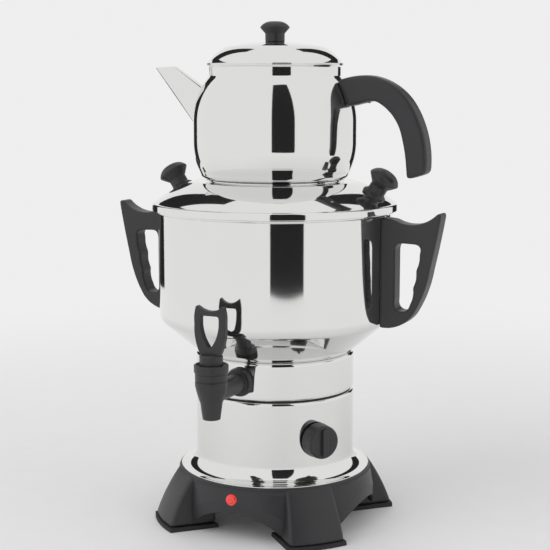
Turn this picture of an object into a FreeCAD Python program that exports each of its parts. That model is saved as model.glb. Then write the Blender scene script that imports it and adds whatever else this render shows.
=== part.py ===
import FreeCAD, Part
import Sketcher
import os
import re

"""An electric samovar with a teapot on top, as a parametric document in millimetres.

The origin is on the floor, on the axis of the urn. +Z is up, the tap faces -Y, and the urn's two
handles lie on the X axis, with the teapot's handle towards +X and its spout towards -X.
"""

SIZES = {
    # Sheet metal and clearances
    "sheet": 1.0,
    "fit_gap": 0.2,
    "turn_gap": 0.05,
    "lift_gap": 0.7,
    # Base housing, legs and foot pads
    "foot_thick": 4.0,
    "foot_lip": 1.0,
    "foot_plug": 5.0,
    "housing_tall": 48.0,
    "housing_wall": 3.0,
    "ring_r": 93.5,
    "wall_low_r": 97.5,
    "leg_swell_r": 106.5,
    "leg_swell_up": 31.0,
    "leg_low_r": 118.0,
    "leg_low_half": 27.5,
    "leg_top_half": 23.0,
    "arch_half": 48.0,
    "arch_low": 6.0,
    "arch_high": 27.0,
    "deck_hole_r": 70.0,
    # Bottom plate and its screws
    "plate_r": 87.0,
    "plate_thick": 1.5,
    "plate_sink": 24.0,
    "boss_ring_r": 79.0,
    "boss_r": 5.0,
    "vent_ring_r": 52.0,
    "vent_r": 3.0,
    "small_screw_r": 1.5,
    "small_head_r": 3.0,
    "small_head_tall": 2.0,
    # Pilot lamp
    "lamp_up": 39.0,
    "lamp_r": 5.8,
    "lamp_stem_r": 4.5,
    "lamp_long": 14.0,
    # Skirt
    "skirt_r": 77.0,
    "skirt_tall": 76.5,
    "flare_r": 14.0,
    "flare_lip": 1.2,
    "edge_round": 2.5,
    "flange_in": 9.0,
    # Seam ring and neck cup
    "seal_thick": 1.5,
    "seal_in": 2.6,
    "neck_tall": 36.0,
    "neck_round": 3.0,
    # Cone, drum and rolled bead
    "cone_rise": 32.0,
    "drum_r": 112.0,
    "drum_tall": 106.0,
    "drum_round": 5.0,
    "bead_out": 3.4,
    "bead_half": 1.75,
    # Urn lid
    "lid_over": 6.0,
    "lid_drop": 1.0,
    "rim_tall": 4.5,
    "rim_round": 2.4,
    "lid_rise": 26.0,
    "lid_flat_r": 78.0,
    "lid_swell": 2.6,
    "seat_r": 66.0,
    "seat_sink": 1.5,
    "steam_r": 55.0,
    "steam_lip": 4.5,
    "collar_deep": 12.0,
    # Mushroom knobs, on the urn lid and the teapot lid
    "knob_head_r": 15.0,
    "knob_stem_r": 8.5,
    "knob_foot_r": 11.5,
    "knob_tall": 25.0,
    "knob_out": 101.5,
    "knob_lean": 34.0,
    "top_knob_head_r": 14.2,
    "top_knob_stem_r": 9.2,
    "top_knob_tall": 18.5,
    # Teapot
    "disc_r": 63.0,
    "disc_thick": 3.0,
    "pot_r": 78.5,
    "pot_foot_r": 64.0,
    "pot_heel_r": 71.5,
    "pot_mouth_r": 63.2,
    "pot_belly_low": 36.5,
    "pot_belly_high": 54.5,
    "pot_shoulder": 98.0,
    "pot_tall": 108.5,
    "pot_bead": 1.8,
    # Teapot lid
    "cap_over": 2.2,
    "cap_rise": 21.5,
    "cap_shoulder_r": 47.0,
    "cap_shoulder_up": 16.5,
    "cap_collar_deep": 7.0,
    # Spout
    "spout_up": 69.0,
    "spout_lean": 42.0,
    "spout_root_r": 17.6,
    "spout_tip_r": 4.4,
    "spout_long": 82.0,
    "spout_inside": 11.0,
    "spout_tip_up": 106.5,
    "strainer_r": 1.8,
    "strainer_ring_r": 8.5,
    # Teapot handle
    "grab_half": 10.0,
    "grab_round": 3.6,
    "grab_root_up": 70.0,
    "tab_half": 6.0,
    "tab_thick": 3.0,
    "tab_long": 24.0,
    # Urn handles
    "grip_half": 9.0,
    "grip_tall": 103.6,
    "grip_reach": 58.5,
    "grip_drop": 4.4,
    "bracket_half": 6.0,
    "bracket_thick": 1.5,
    "bracket_tall": 84.0,
    "grip_screw_gap": 70.0,
    # Tap
    "tap_out": 134.0,
    "tap_up": 18.0,
    "tap_r": 14.6,
    "tap_low_r": 10.0,
    "outlet_r": 8.0,
    "outlet_bore_r": 5.5,
    "tap_top_up": 20.0,
    "tap_outlet_down": 22.0,
    "tap_waist_down": 7.0,
    "pipe_r": 9.2,
    "pipe_bore_r": 6.0,
    "tap_flange_r": 13.8,
    "tap_flange_thick": 4.0,
    "gasket_thick": 2.0,
    "shank_r": 7.5,
    "shank_long": 12.0,
    "lock_nut_half": 12.0,
    "lock_nut_thick": 5.0,
    "bonnet_r": 15.5,
    "bonnet_tall": 8.0,
    "plug_top_r": 9.6,
    "plug_low_r": 7.6,
    "plug_port_r": 4.6,
    "shoulder_r": 12.0,
    "shoulder_tall": 3.0,
    "washer_thick": 1.0,
    "key_neck_r": 10.5,
    "key_neck_tall": 9.0,
    "key_half": 15.2,
    "key_tall": 44.0,
    "key_hole_half": 8.6,
    "key_thick": 6.5,
    # Thermostat
    "dial_angle": -35.0,
    "dial_up": 92.0,
    "dial_r": 16.5,
    "dial_thick": 13.5,
    "dial_gap": 1.8,
    "stat_r": 15.0,
    "stat_long": 20.0,
    "stat_inset": 3.0,
    "bush_r": 5.0,
    "bush_out": 3.0,
    "stat_nut_r": 8.0,
    "stat_nut_thick": 2.4,
    "stem_r": 3.0,
    # Appliance inlet
    "inlet_up": 92.0,
    "inlet_half": 25.0,
    "inlet_tall": 27.0,
    "inlet_out": 4.0,
    "inlet_body_half": 13.8,
    "inlet_body_tall": 20.5,
    "inlet_body_deep": 19.0,
    "inlet_socket_half": 12.2,
    "inlet_socket_tall": 17.0,
    "inlet_socket_deep": 17.0,
    "inlet_pin_half": 1.0,
    "inlet_pin_tall": 4.0,
    "inlet_pin_pitch": 7.0,
    "inlet_screw_out": 20.0,
    # Heater, tie rod and inner fittings
    "heater_r": 56.0,
    "heater_thick": 8.0,
    "tube_ring_r": 42.0,
    "tube_r": 4.0,
    "tube_half_turn": 155.0,
    "tube_leg": 22.0,
    "rod_r": 4.0,
    "nut_half": 6.5,
    "nut_tall": 6.0,
    "clamp_half": 30.0,
    "clamp_wide": 9.0,
    "clamp_thick": 2.5,
    "cutout_r": 8.0,
    "cutout_tall": 8.0,
    "cutout_out": 22.0,
    "block_half": 16.0,
    "block_wide": 7.0,
    "block_tall": 12.0,
    "block_back": 44.0,
}

LEVELS = {
    "base_top": "foot_thick + housing_tall",
    "plate_low": "base_top - plate_sink",
    "plate_top": "plate_low + plate_thick",
    "skirt_top": "base_top + skirt_tall",
    "neck_low": "skirt_top + seal_thick",
    "neck_top": "neck_low + neck_tall",
    "crease_r": "skirt_r - neck_round",
    "drum_low": "neck_top + cone_rise",
    "tank_top": "drum_low + drum_tall",
    "bead_mid": "tank_top - bead_half",
    "lid_r": "drum_r + lid_over",
    "rim_low": "tank_top - lid_drop",
    "rim_top": "rim_low + rim_tall",
    "dome_r": "lid_r - rim_round",
    "dome_low": "rim_top + rim_round",
    "lid_top": "tank_top + lid_rise",
    "seat_up": "lid_top - seat_sink",
    "pot_floor": "seat_up + disc_thick",
    "pot_rim": "pot_floor + pot_tall",
    "pot_rim_r": "pot_mouth_r + pot_bead",
    "shoulder_in": "pot_r - pot_mouth_r",
    "shoulder_bend": "(shoulder_in^2 + (pot_shoulder - pot_belly_high)^2) / (2 * shoulder_in)",
    "cap_r": "pot_mouth_r + cap_over",
    "cap_top": "pot_rim + cap_rise",
    "tap_level": "neck_low + tap_up",
    "tap_top": "tap_level + tap_top_up",
    "bonnet_top": "tap_top + bonnet_tall",
    "key_foot": "bonnet_top + key_neck_tall",
    "key_top": "key_foot + key_tall",
    "heater_low": "neck_low - heater_thick",
    "grip_top": "tank_top - grip_drop",
    "grip_low": "grip_top - grip_tall",
}

WORD = re.compile(r"[a-z][a-z_0-9]*")
NODES = []
X_AXIS = FreeCAD.Vector(1, 0, 0)
Y_AXIS = FreeCAD.Vector(0, 1, 0)
Z_AXIS = FreeCAD.Vector(0, 0, 1)

doc = FreeCAD.newDocument("Samovar")
sheet = doc.addObject("Spreadsheet::Sheet", "Sizes")
for row, (name, size) in enumerate(SIZES.items(), 1):
    sheet.set(f"A{row}", name)
    sheet.set(f"B{row}", str(size))
    sheet.setAlias(f"B{row}", name)
doc.recompute()


def tied(text):
    """A length as an expression: each size read from the sheet, each level written out."""
    def swap(found):
        word = found.group(0)
        if word in LEVELS:
            return "(" + tied(LEVELS[word]) + ")"
        return "Sizes." + word if word in SIZES else word
    return WORD.sub(swap, str(text))


def value(text):
    """The present value of a length."""
    return float(sheet.evalExpression(tied(text)))


def bind(thing, **lengths):
    """Ties properties of an object to lengths."""
    for name, text in lengths.items():
        thing.setExpression(name, tied(text))
    return thing


def place(thing, at=(0, 0, 0), turn=None):
    """Puts an object at a tied point, turned by (axis, degrees) or by (yaw, pitch, roll)."""
    turned_by = FreeCAD.Rotation()
    if turn and len(turn) == 2:
        turned_by = FreeCAD.Rotation(turn[0], value(turn[1]))
    elif turn:
        turned_by = FreeCAD.Rotation(*(value(angle) for angle in turn))
    thing.Placement = FreeCAD.Placement(FreeCAD.Vector(*(value(text) for text in at)), turned_by)
    for letter, text in zip("xyz", at):
        if str(text) != "0":
            thing.setExpression(f"Placement.Base.{letter}", tied(text))
    return thing


def plane_of(body, role):
    """One of a body's own origin planes."""
    return next(item for item in body.Origin.OriginFeatures if item.Role == role)


def outline(body, name, steps, plane="XZ_Plane"):
    """A closed outline: each step is the next corner (across, up), reached by a straight line, or
    (across, up, over, by), reached by an arc through the point (over, by)."""
    sketch = body.newObject("Sketcher::SketchObject", name)
    sketch.AttachmentSupport = (plane_of(body, plane), [""])
    sketch.MapMode = "FlatFace"
    corners = [FreeCAD.Vector(value(step[0]), value(step[1]), 0) for step in steps]
    for number, step in enumerate(steps):
        start = corners[number - 1]
        if len(step) == 4:
            middle = FreeCAD.Vector(value(step[2]), value(step[3]), 0)
            sketch.addGeometry(Part.Arc(start, middle, corners[number]), False)
        else:
            sketch.addGeometry(Part.LineSegment(start, corners[number]), False)
    ends = []
    for number, corner in enumerate(corners):
        forward = sketch.getPoint(number, 2).isEqual(corner, 1e-5)
        ends.append((1, 2) if forward else (2, 1))
    for number, step in enumerate(steps):
        following = (number + 1) % len(steps)
        joint = Sketcher.Constraint("Coincident", number, ends[number][1], following, ends[following][0])
        sketch.addConstraint(joint)
        fix_point(sketch, number, ends[number][1], step[0], step[1])
        if len(step) == 4:
            middle = FreeCAD.Vector(value(step[2]), value(step[3]), 0)
            point = sketch.addGeometry(Part.Point(middle), True)
            fix_point(sketch, point, 1, step[2], step[3])
            sketch.addConstraint(Sketcher.Constraint("PointOnObject", point, 1, number))
    return sketch


def fix_point(sketch, geometry, end, across, up):
    """Ties one point of a sketch to its two lengths from the sketch's origin."""
    for kind, text in (("DistanceX", across), ("DistanceY", up)):
        limit = Sketcher.Constraint(kind, -1, 1, geometry, end, value(text))
        number = sketch.addConstraint(limit)
        sketch.setExpression(f"Constraints[{number}]", tied(text))


def turned(label, steps, about="V_Axis"):
    """A body of revolution from its half section."""
    body = doc.addObject("PartDesign::Body", label)
    sketch = outline(body, label + "_section", steps)
    turn = body.newObject("PartDesign::Revolution", label + "_turn")
    turn.Profile = sketch
    turn.ReferenceAxis = (sketch, [about])
    turn.Angle = 360
    body.Tip = turn
    return body


def flat(label, steps, thick, plane="XZ_Plane"):
    """A plate of the given outline, with half its thickness on each side of the plane."""
    body = doc.addObject("PartDesign::Body", label)
    sketch = outline(body, label + "_outline", steps, plane)
    pad = body.newObject("PartDesign::Pad", label + "_pad")
    pad.Profile = sketch
    pad.Midplane = True
    bind(pad, Length=thick)
    body.Tip = pad
    return body


def pocket(body, name, steps):
    """A hole of the given outline right through a plate."""
    sketch = outline(body, name + "_outline", steps)
    hole = body.newObject("PartDesign::Pocket", name)
    hole.Profile = sketch
    hole.Type = "ThroughAll"
    hole.Midplane = True
    body.Tip = hole
    return body


def rounded(body, radius, wanted):
    """Rounds those edges of a body that the test picks."""
    doc.recompute()
    tip = body.Tip
    names = [f"Edge{number}" for number, edge in enumerate(tip.Shape.Edges, 1) if wanted(edge)]
    fillet = body.newObject("PartDesign::Fillet", body.Name + "_rounding")
    fillet.Base = (tip, names)
    bind(fillet, Radius=radius)
    body.Tip = fillet
    return body


def cylinder(label, radius, height, at=(0, 0, 0), turn=None):
    """A cylinder that stands on its placement's origin."""
    return place(bind(doc.addObject("Part::Cylinder", label), Radius=radius, Height=height), at, turn)


def cone(label, low, high, height, at=(0, 0, 0), turn=None):
    """A cone that stands on its placement's origin."""
    shape = doc.addObject("Part::Cone", label)
    return place(bind(shape, Radius1=low, Radius2=high, Height=height), at, turn)


def box(label, half, deep, tall, at=(0, 0, 0), turn=None):
    """A box centred on X, that runs deep along +Y and tall along +Z from its point."""
    shape = bind(doc.addObject("Part::Box", label), Length=f"2 * ({half})", Width=deep, Height=tall)
    return place(shape, (f"{at[0]} - ({half})", at[1], at[2]), turn)


def hexagon(label, half, tall, bore, at=(0, 0, 0), turn=None):
    """A nut: a six-sided prism, half its width across flats given, with a bore."""
    prism = doc.addObject("Part::Prism", label + "_prism")
    prism.Polygon = 6
    bind(prism, Circumradius=f"({half}) / cos(30)", Height=tall)
    hole = cylinder(label + "_bore", bore, tall)
    return place(cut(label, prism, hole), at, turn)


def fuse(label, *shapes):
    """Several shapes as one solid."""
    union = doc.addObject("Part::MultiFuse", label)
    union.Shapes = list(shapes)
    return union


def common(label, base, tool):
    """What two shapes share."""
    shared = doc.addObject("Part::Common", label)
    shared.Base = base
    shared.Tool = tool
    return shared


def cut(label, base, *tools):
    """A shape less each of the tools."""
    for number, tool in enumerate(tools, 1):
        name = label if number == len(tools) else f"{label}_cut_{number}"
        trimmed = doc.addObject("Part::Cut", name)
        trimmed.Base = base
        trimmed.Tool = tool
        base = trimmed
    return base


def group(label, shapes):
    """Separate solids that share one node."""
    together = doc.addObject("Part::Compound", label)
    together.Links = list(shapes)
    return together


def mirrored(label, source, normal):
    """A shape's mirror image in a plane through the origin."""
    image = doc.addObject("Part::Mirroring", label)
    image.Source = source
    image.Base = FreeCAD.Vector(0, 0, 0)
    image.Normal = normal
    return image


def four_ways(label, quarter, join):
    """A quarter and its mirror images in the other three quarters."""
    half = mirrored(label + "_side", quarter, Y_AXIS)
    back = mirrored(label + "_back", quarter, X_AXIS)
    far = mirrored(label + "_far", half, X_AXIS)
    return join(label, quarter, half, back, far)


def keep(shape):
    """Notes a finished piece, whose label names its file."""
    NODES.append(shape)
    return shape


# Base housing. The wall is a slightly flared ring with an arch between each two legs, and the legs
# swell outwards on the diagonals. Wall and legs are hollow, with a deck under the skirt.

def wall_form(label, inset, top):
    """The housing's wall as a solid of revolution, smaller by an inset."""
    inset = f"({inset})"
    return turned(label, [
        ("0", "foot_thick"),
        (f"wall_low_r - {inset}", "foot_thick"),
        (f"wall_low_r - {inset}", "arch_high - 5"),
        (f"ring_r - {inset}", top),
        ("0", top),
    ])


def leg_form(label, inset, low, top, lip="0"):
    """One leg in the first quarter: the swelling silhouette, cut to a wedge on the diagonal."""
    inset = f"({inset})"
    bell = turned(label + "_bell", [
        ("skirt_r", low),
        (f"leg_low_r - {inset} + {lip}", low),
        (f"ring_r - {inset} + {lip}", top, f"leg_swell_r - {inset} + {lip}", "leg_swell_up"),
        ("skirt_r", top),
    ])
    wedge = flat(label + "_wedge", [
        (f"-(leg_low_half - {inset} + {lip})", "0"),
        (f"leg_low_half - {inset} + {lip}", "0"),
        (f"leg_top_half - {inset} + {lip}", "base_top"),
        (f"-(leg_top_half - {inset} + {lip})", "base_top"),
    ], "2 * leg_low_r")
    place(wedge, ("leg_low_r", "leg_low_r", "0"), (Z_AXIS, "-45"))
    return common(label, bell, wedge)


leg = leg_form("leg", "0", "foot_thick", "base_top")
leg_hollow = leg_form("leg_hollow", "housing_wall", "foot_thick", "base_top - housing_wall")
wall = wall_form("wall", "0", "base_top")
wall_hollow = wall_form("wall_hollow", "housing_wall", "base_top - housing_wall")
arch = flat("arch", [
    ("arch_half", "0"),
    ("arch_half", "arch_low"),
    ("-arch_half", "arch_low", "0", "arch_high"),
    ("-arch_half", "0"),
], "3 * leg_low_r")
arch_across = flat("arch_across", [
    ("arch_half", "0"),
    ("arch_half", "arch_low"),
    ("-arch_half", "arch_low", "0", "arch_high"),
    ("-arch_half", "0"),
], "3 * leg_low_r", "YZ_Plane")
arched_wall = cut("arched_wall", wall, arch, arch_across)
blank = fuse("housing_blank", arched_wall, four_ways("legs", leg, fuse))
boss_at = "boss_ring_r * sqrt(0.5)"
boss = cylinder("boss", "boss_r", "base_top - plate_top - 1", (boss_at, boss_at, "plate_top"))
shelled = cut(
    "housing_shelled",
    blank,
    wall_hollow,
    four_ways("leg_hollows", leg_hollow, fuse),
    cylinder("deck_hole", "deck_hole_r", "housing_tall", ("0", "0", "foot_thick + 1")),
)
lamp_hole = cylinder(
    "lamp_hole", "lamp_stem_r + fit_gap", "30", ("0", "-wall_low_r - 10", "lamp_up"), (X_AXIS, "-90")
)
pilot_holes = [
    cylinder(f"pilot_hole_{number}", "small_screw_r", "12",
             (f"{side} * {boss_at}", f"{end} * {boss_at}", "plate_top"))
    for number, (side, end) in enumerate(((1, 1), (1, -1), (-1, -1), (-1, 1)), 1)
]
bossed = fuse("housing_bossed", shelled, four_ways("bosses", boss, fuse))
keep(cut("base_housing", bossed, lamp_hole, *pilot_holes))

# Foot pads: a soft plate with a thin lip under each leg, and a plug that grips inside the leg.

pad_slab = leg_form("pad_slab", "0", "0", "base_top", "foot_lip")
pad_cut = cylinder("pad_level", "2 * leg_low_r", "housing_tall + 1", ("0", "0", "foot_thick"))
pad_back = cylinder("pad_back", "wall_low_r - housing_wall", "foot_thick * 3")
pad_plate = cut("pad_plate", pad_slab, pad_cut, pad_back)
plug_form = leg_form("plug_form", "housing_wall + fit_gap", "foot_thick", "base_top")
plug_level = cylinder("plug_level", "2 * leg_low_r", "housing_tall", ("0", "0", "foot_thick + foot_plug"))
plug_back = cylinder("plug_back", "wall_low_r", "foot_thick * 4")
pad_plug = cut("pad_plug", plug_form, plug_level, plug_back)
foot_pad = fuse("foot_pad", pad_plate, pad_plug)
keep(four_ways("foot_pads", foot_pad, lambda label, *shapes: group(label, shapes)))

# Bottom plate, with a ring of vents, and its four screws up into the housing's bosses.

plate = cylinder("plate", "plate_r", "plate_thick", ("0", "0", "plate_low"))
plate_holes = [cylinder("rod_hole", "rod_r + fit_gap", "plate_thick", ("0", "0", "plate_low"))]
for number in range(12):
    angle = 15 + 30 * number
    at = (f"vent_ring_r * cos({angle})", f"vent_ring_r * sin({angle})", "plate_low")
    plate_holes.append(cylinder(f"vent_{number}", "vent_r", "plate_thick", at))
plate_screws = []
for number, (side, end) in enumerate(((1, 1), (1, -1), (-1, -1), (-1, 1)), 1):
    across = f"{side} * {boss_at}"
    along = f"{end} * {boss_at}"
    plate_holes.append(cylinder(
        f"screw_hole_{number}", "small_screw_r + fit_gap", "plate_thick", (across, along, "plate_low")
    ))
    plate_screws.append(fuse(
        f"plate_screw_{number}",
        cylinder(f"plate_head_{number}", "small_head_r", "small_head_tall",
                 (across, along, "plate_low - small_head_tall")),
        cylinder(f"plate_shank_{number}", "small_screw_r - turn_gap", "10", (across, along, "plate_low")),
    ))
keep(cut("bottom_plate", plate, *plate_holes))
keep(group("bottom_plate_screws", plate_screws))

# Pilot lamp in the front of the housing: the lens seats on the wall, with the lamp body behind it.

lens_dome = turned("lens_dome", [
    ("0", "3"),
    ("lamp_r", "3"),
    ("lamp_r", "-1"),
    ("0.5", "-3", "0.7 * lamp_r", "-2.4"),
    ("0", "-3"),
])
place(lens_dome, ("0", "-(ring_r + wall_low_r) / 2", "lamp_up"), (X_AXIS, "-90"))
lens_cap = cut("lens_cap", lens_dome, wall_form("lens_seat", "0", "base_top"))
lens_stem = cylinder("lens_stem", "lamp_stem_r", "12", ("0", "-wall_low_r + 1", "lamp_up"), (X_AXIS, "-90"))
keep(fuse("pilot_lamp_lens", lens_cap, lens_stem))
lamp_back = "-ring_r + housing_wall - 0.5"
lamp_case = cylinder("lamp_case", "lamp_r + 1", "lamp_long", ("0", lamp_back, "lamp_up"), (X_AXIS, "-90"))
lamp_socket = cylinder(
    "lamp_socket", "lamp_stem_r + turn_gap", "12",
    ("0", "-wall_low_r + 1 + turn_gap", "lamp_up"), (X_AXIS, "-90")
)
keep(cut("pilot_lamp_body", lamp_case, lamp_socket))

# Skirt shell: a sheet cylinder that flares out to a lip on the housing and turns in at the top.

DIAGONAL = "sqrt(0.5)"
flare_up = "(base_top + sheet + flare_r)"
skirt = turned("skirt", [
    ("skirt_r + flare_r + flare_lip", "base_top + sheet"),
    ("skirt_r + flare_r", "base_top + sheet"),
    ("skirt_r", flare_up,
     f"skirt_r + flare_r - flare_r * {DIAGONAL}", f"{flare_up} - flare_r * {DIAGONAL}"),
    ("skirt_r", "skirt_top - edge_round"),
    ("skirt_r - edge_round", "skirt_top",
     f"skirt_r - edge_round + edge_round * {DIAGONAL}", f"skirt_top - edge_round + edge_round * {DIAGONAL}"),
    ("skirt_r - flange_in", "skirt_top"),
    ("skirt_r - flange_in", "skirt_top - sheet"),
    ("skirt_r - edge_round", "skirt_top - sheet"),
    ("skirt_r - sheet", "skirt_top - edge_round",
     f"skirt_r - edge_round + (edge_round - sheet) * {DIAGONAL}",
     f"skirt_top - edge_round + (edge_round - sheet) * {DIAGONAL}"),
    ("skirt_r - sheet", flare_up),
    ("skirt_r + flare_r", "base_top",
     f"skirt_r + flare_r - (flare_r + sheet) * {DIAGONAL}", f"{flare_up} - (flare_r + sheet) * {DIAGONAL}"),
    ("skirt_r + flare_r + flare_lip", "base_top"),
])
dial_hole = cylinder(
    "dial_hole", "bush_r + fit_gap", "skirt_r + 10", ("0", "0", "dial_up"), ("dial_angle", "90", "0")
)
inlet_window = box(
    "inlet_window", "inlet_body_half + fit_gap", "40", "inlet_body_tall + 2 * fit_gap",
    ("0", "skirt_r - 20", "inlet_up - inlet_body_tall / 2 - fit_gap"),
)
inlet_holes = [
    cylinder(f"inlet_hole_{number}", "small_screw_r + fit_gap", "30",
             (f"{side} * inlet_screw_out", "skirt_r - 15", "inlet_up"), (X_AXIS, "-90"))
    for number, side in enumerate((-1, 1), 1)
]
keep(cut("skirt_shell", skirt, dial_hole, inlet_window, *inlet_holes))

# Dark seam ring between the skirt and the neck.

keep(turned("neck_seal", [
    ("skirt_r - flange_in", "skirt_top"),
    ("skirt_r - seal_in", "skirt_top"),
    ("skirt_r - seal_in", "neck_low"),
    ("skirt_r - flange_in", "neck_low"),
]))

# Neck cup: the lowest part of the water tank, with a rounded foot and shoulder.

neck_bend = f"neck_round * {DIAGONAL}"
neck_bend_in = f"(neck_round - sheet) * {DIAGONAL}"
cup = turned("cup", [
    ("0", "neck_low"),
    ("crease_r", "neck_low"),
    ("skirt_r", "neck_low + neck_round", f"crease_r + {neck_bend}", f"neck_low + neck_round - {neck_bend}"),
    ("skirt_r", "neck_top - neck_round"),
    ("crease_r", "neck_top", f"crease_r + {neck_bend}", f"neck_top - neck_round + {neck_bend}"),
    ("crease_r - 2 * sheet", "neck_top"),
    ("crease_r - 2 * sheet", "neck_top - sheet"),
    ("crease_r", "neck_top - sheet"),
    ("skirt_r - sheet", "neck_top - neck_round",
     f"crease_r + {neck_bend_in}", f"neck_top - neck_round + {neck_bend_in}"),
    ("skirt_r - sheet", "neck_low + neck_round"),
    ("crease_r", "neck_low + sheet",
     f"crease_r + {neck_bend_in}", f"neck_low + neck_round - {neck_bend_in}"),
    ("0", "neck_low + sheet"),
])
shank_hole = cylinder(
    "shank_hole", "shank_r + fit_gap", "30", ("0", "-skirt_r - 10", "tap_level"), (X_AXIS, "-90")
)
keep(cut("neck_cup", cup, shank_hole))

# Tank: the cone and the drum in one sheet, with a rolled bead round the mouth.

def at_corner(radius, level):
    """A test for the round edge at one radius and level."""
    def test(edge):
        circle = edge.Curve
        round_edge = isinstance(circle, Part.Circle) and abs(circle.Radius - value(radius)) < 0.01
        return round_edge and abs(circle.Center.z - value(level)) < 0.01
    return test


tank = turned("urn_tank", [
    ("crease_r", "neck_top"),
    ("drum_r", "drum_low"),
    ("drum_r", "tank_top - 2 * bead_half"),
    ("drum_r + bead_out - bead_half", "tank_top - 2 * bead_half"),
    ("drum_r + bead_out - bead_half", "tank_top", "drum_r + bead_out", "bead_mid"),
    ("drum_r - sheet", "tank_top"),
    ("drum_r - sheet", "drum_low"),
    ("crease_r - sheet", "neck_top"),
])
rounded(tank, "drum_round", at_corner("drum_r", "drum_low"))
keep(tank)

# Urn handles: a D-shaped grip with a horned tip and finger scallops, on a strip welded to the drum.

def grip_at(out, down):
    """A point of the grip, as shares of its reach and its height."""
    return f"drum_r + {out} * grip_reach", f"grip_top - {down} * grip_tall"


def urn_handle(label):
    """The grip on the +X side, before it is cut to sit on the drum."""
    grip = flat(label, [
        ("drum_r - 2", "grip_top"),
        grip_at(0.205, 0.012),
        grip_at(0.939, -0.062) + grip_at(0.58, 0.048),
        grip_at(1.0, -0.05),
        grip_at(0.819, 0.45) + grip_at(0.922, 0.18),
        grip_at(0.546, 0.865) + grip_at(0.708, 0.681),
        grip_at(0.051, 1.0) + grip_at(0.358, 0.958),
        ("drum_r - 2", "grip_low"),
    ], "2 * grip_half")
    return pocket(grip, label + "_finger_hole", [
        grip_at(0.239, 0.286),
        grip_at(0.358, 0.223) + grip_at(0.273, 0.236),
        grip_at(0.58, 0.228),
        grip_at(0.642, 0.305) + grip_at(0.645, 0.249),
        grip_at(0.587, 0.459) + grip_at(0.637, 0.382),
        grip_at(0.541, 0.614) + grip_at(0.589, 0.537),
        grip_at(0.493, 0.768) + grip_at(0.543, 0.691),
        grip_at(0.341, 0.836) + grip_at(0.444, 0.82),
        grip_at(0.239, 0.749) + grip_at(0.263, 0.817),
    ])


def drum_form(label, more):
    """The drum's outside as a solid, larger by a gap, to seat things on."""
    return turned(label, [
        ("0", "neck_top"),
        (f"crease_r + {more}", "neck_top"),
        (f"drum_r + {more}", "drum_low"),
        (f"drum_r + {more}", f"tank_top - 2 * bead_half - {more}"),
        (f"drum_r + bead_out + {more}", f"tank_top - 2 * bead_half - {more}"),
        (f"drum_r + bead_out + {more}", "tank_top"),
        ("0", "tank_top"),
    ])


def bracket_strip(label, out, half, tall):
    """A strip that wraps the drum on the +X side."""
    band = turned(label + "_band", [
        ("drum_r + turn_gap", f"{GRIP_MID} - ({tall}) / 2"),
        (f"drum_r + turn_gap + {out}", f"{GRIP_MID} - ({tall}) / 2"),
        (f"drum_r + turn_gap + {out}", f"{GRIP_MID} + ({tall}) / 2"),
        ("drum_r + turn_gap", f"{GRIP_MID} + ({tall}) / 2"),
    ])
    window = place(
        bind(doc.addObject("Part::Box", label + "_window"),
             Length="drum_r + 60", Width=f"2 * ({half})", Height="grip_tall"),
        ("0", f"-({half})", "grip_low"),
    )
    return common(label, band, window)


GRIP_MID = "(grip_top - grip_tall / 2)"
bracket = bracket_strip("bracket", "bracket_thick", "bracket_half", "bracket_tall")
rebate = bracket_strip(
    "rebate", "bracket_thick + fit_gap", "bracket_half + fit_gap", "bracket_tall + 2 * fit_gap"
)
screw_head_in = "drum_r + 0.239 * grip_reach"
screw_bores = []
handle_screws = []
bracket_bores = []
for number, side in enumerate((-1, 1), 1):
    level = f"{GRIP_MID} + {side} * grip_screw_gap / 2"
    turn = (Y_AXIS, "90")
    bore = cylinder(
        f"grip_bore_{number}", "small_screw_r + fit_gap", "30", ("drum_r + bracket_thick", "0", level), turn
    )
    seat = cylinder(
        f"grip_seat_{number}", "small_head_r + fit_gap", "12", (f"{screw_head_in} - 2.5", "0", level), turn
    )
    screw_bores += [bore, seat]
    handle_screws.append(fuse(
        f"grip_screw_{number}",
        cylinder(f"grip_shank_{number}", "small_screw_r", f"{screw_head_in} - 2.5 - drum_r - 2 * turn_gap",
                 ("drum_r + 2 * turn_gap", "0", level), turn),
        cylinder(
            f"grip_head_{number}", "small_head_r", "small_head_tall",
            (f"{screw_head_in} - 2.5", "0", level), turn,
        ),
    ))
    bracket_bores.append(cylinder(
        f"bracket_bore_{number}", "small_screw_r", "20", ("drum_r - 5", "0", level), turn
    ))
grip = urn_handle("grip")
handle_right = keep(cut("handle_right", grip, drum_form("grip_seat", "turn_gap"), rebate, *screw_bores))
keep(mirrored("handle_left", handle_right, X_AXIS))
bored_bracket = cut("bored_bracket", bracket, *bracket_bores)
keep(group("handle_brackets", [bored_bracket, mirrored("bracket_left", bored_bracket, X_AXIS)]))
screw_pair = group("handle_screw_pair", handle_screws)
keep(group("handle_screws", [*handle_screws, mirrored("handle_screws_left", screw_pair, X_AXIS)]))


# Tap body: an upright barrel with an outlet below, a pipe and flange towards the urn, and a shank
# through the neck. A tapered seat for the plug is cut from the top.

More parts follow.
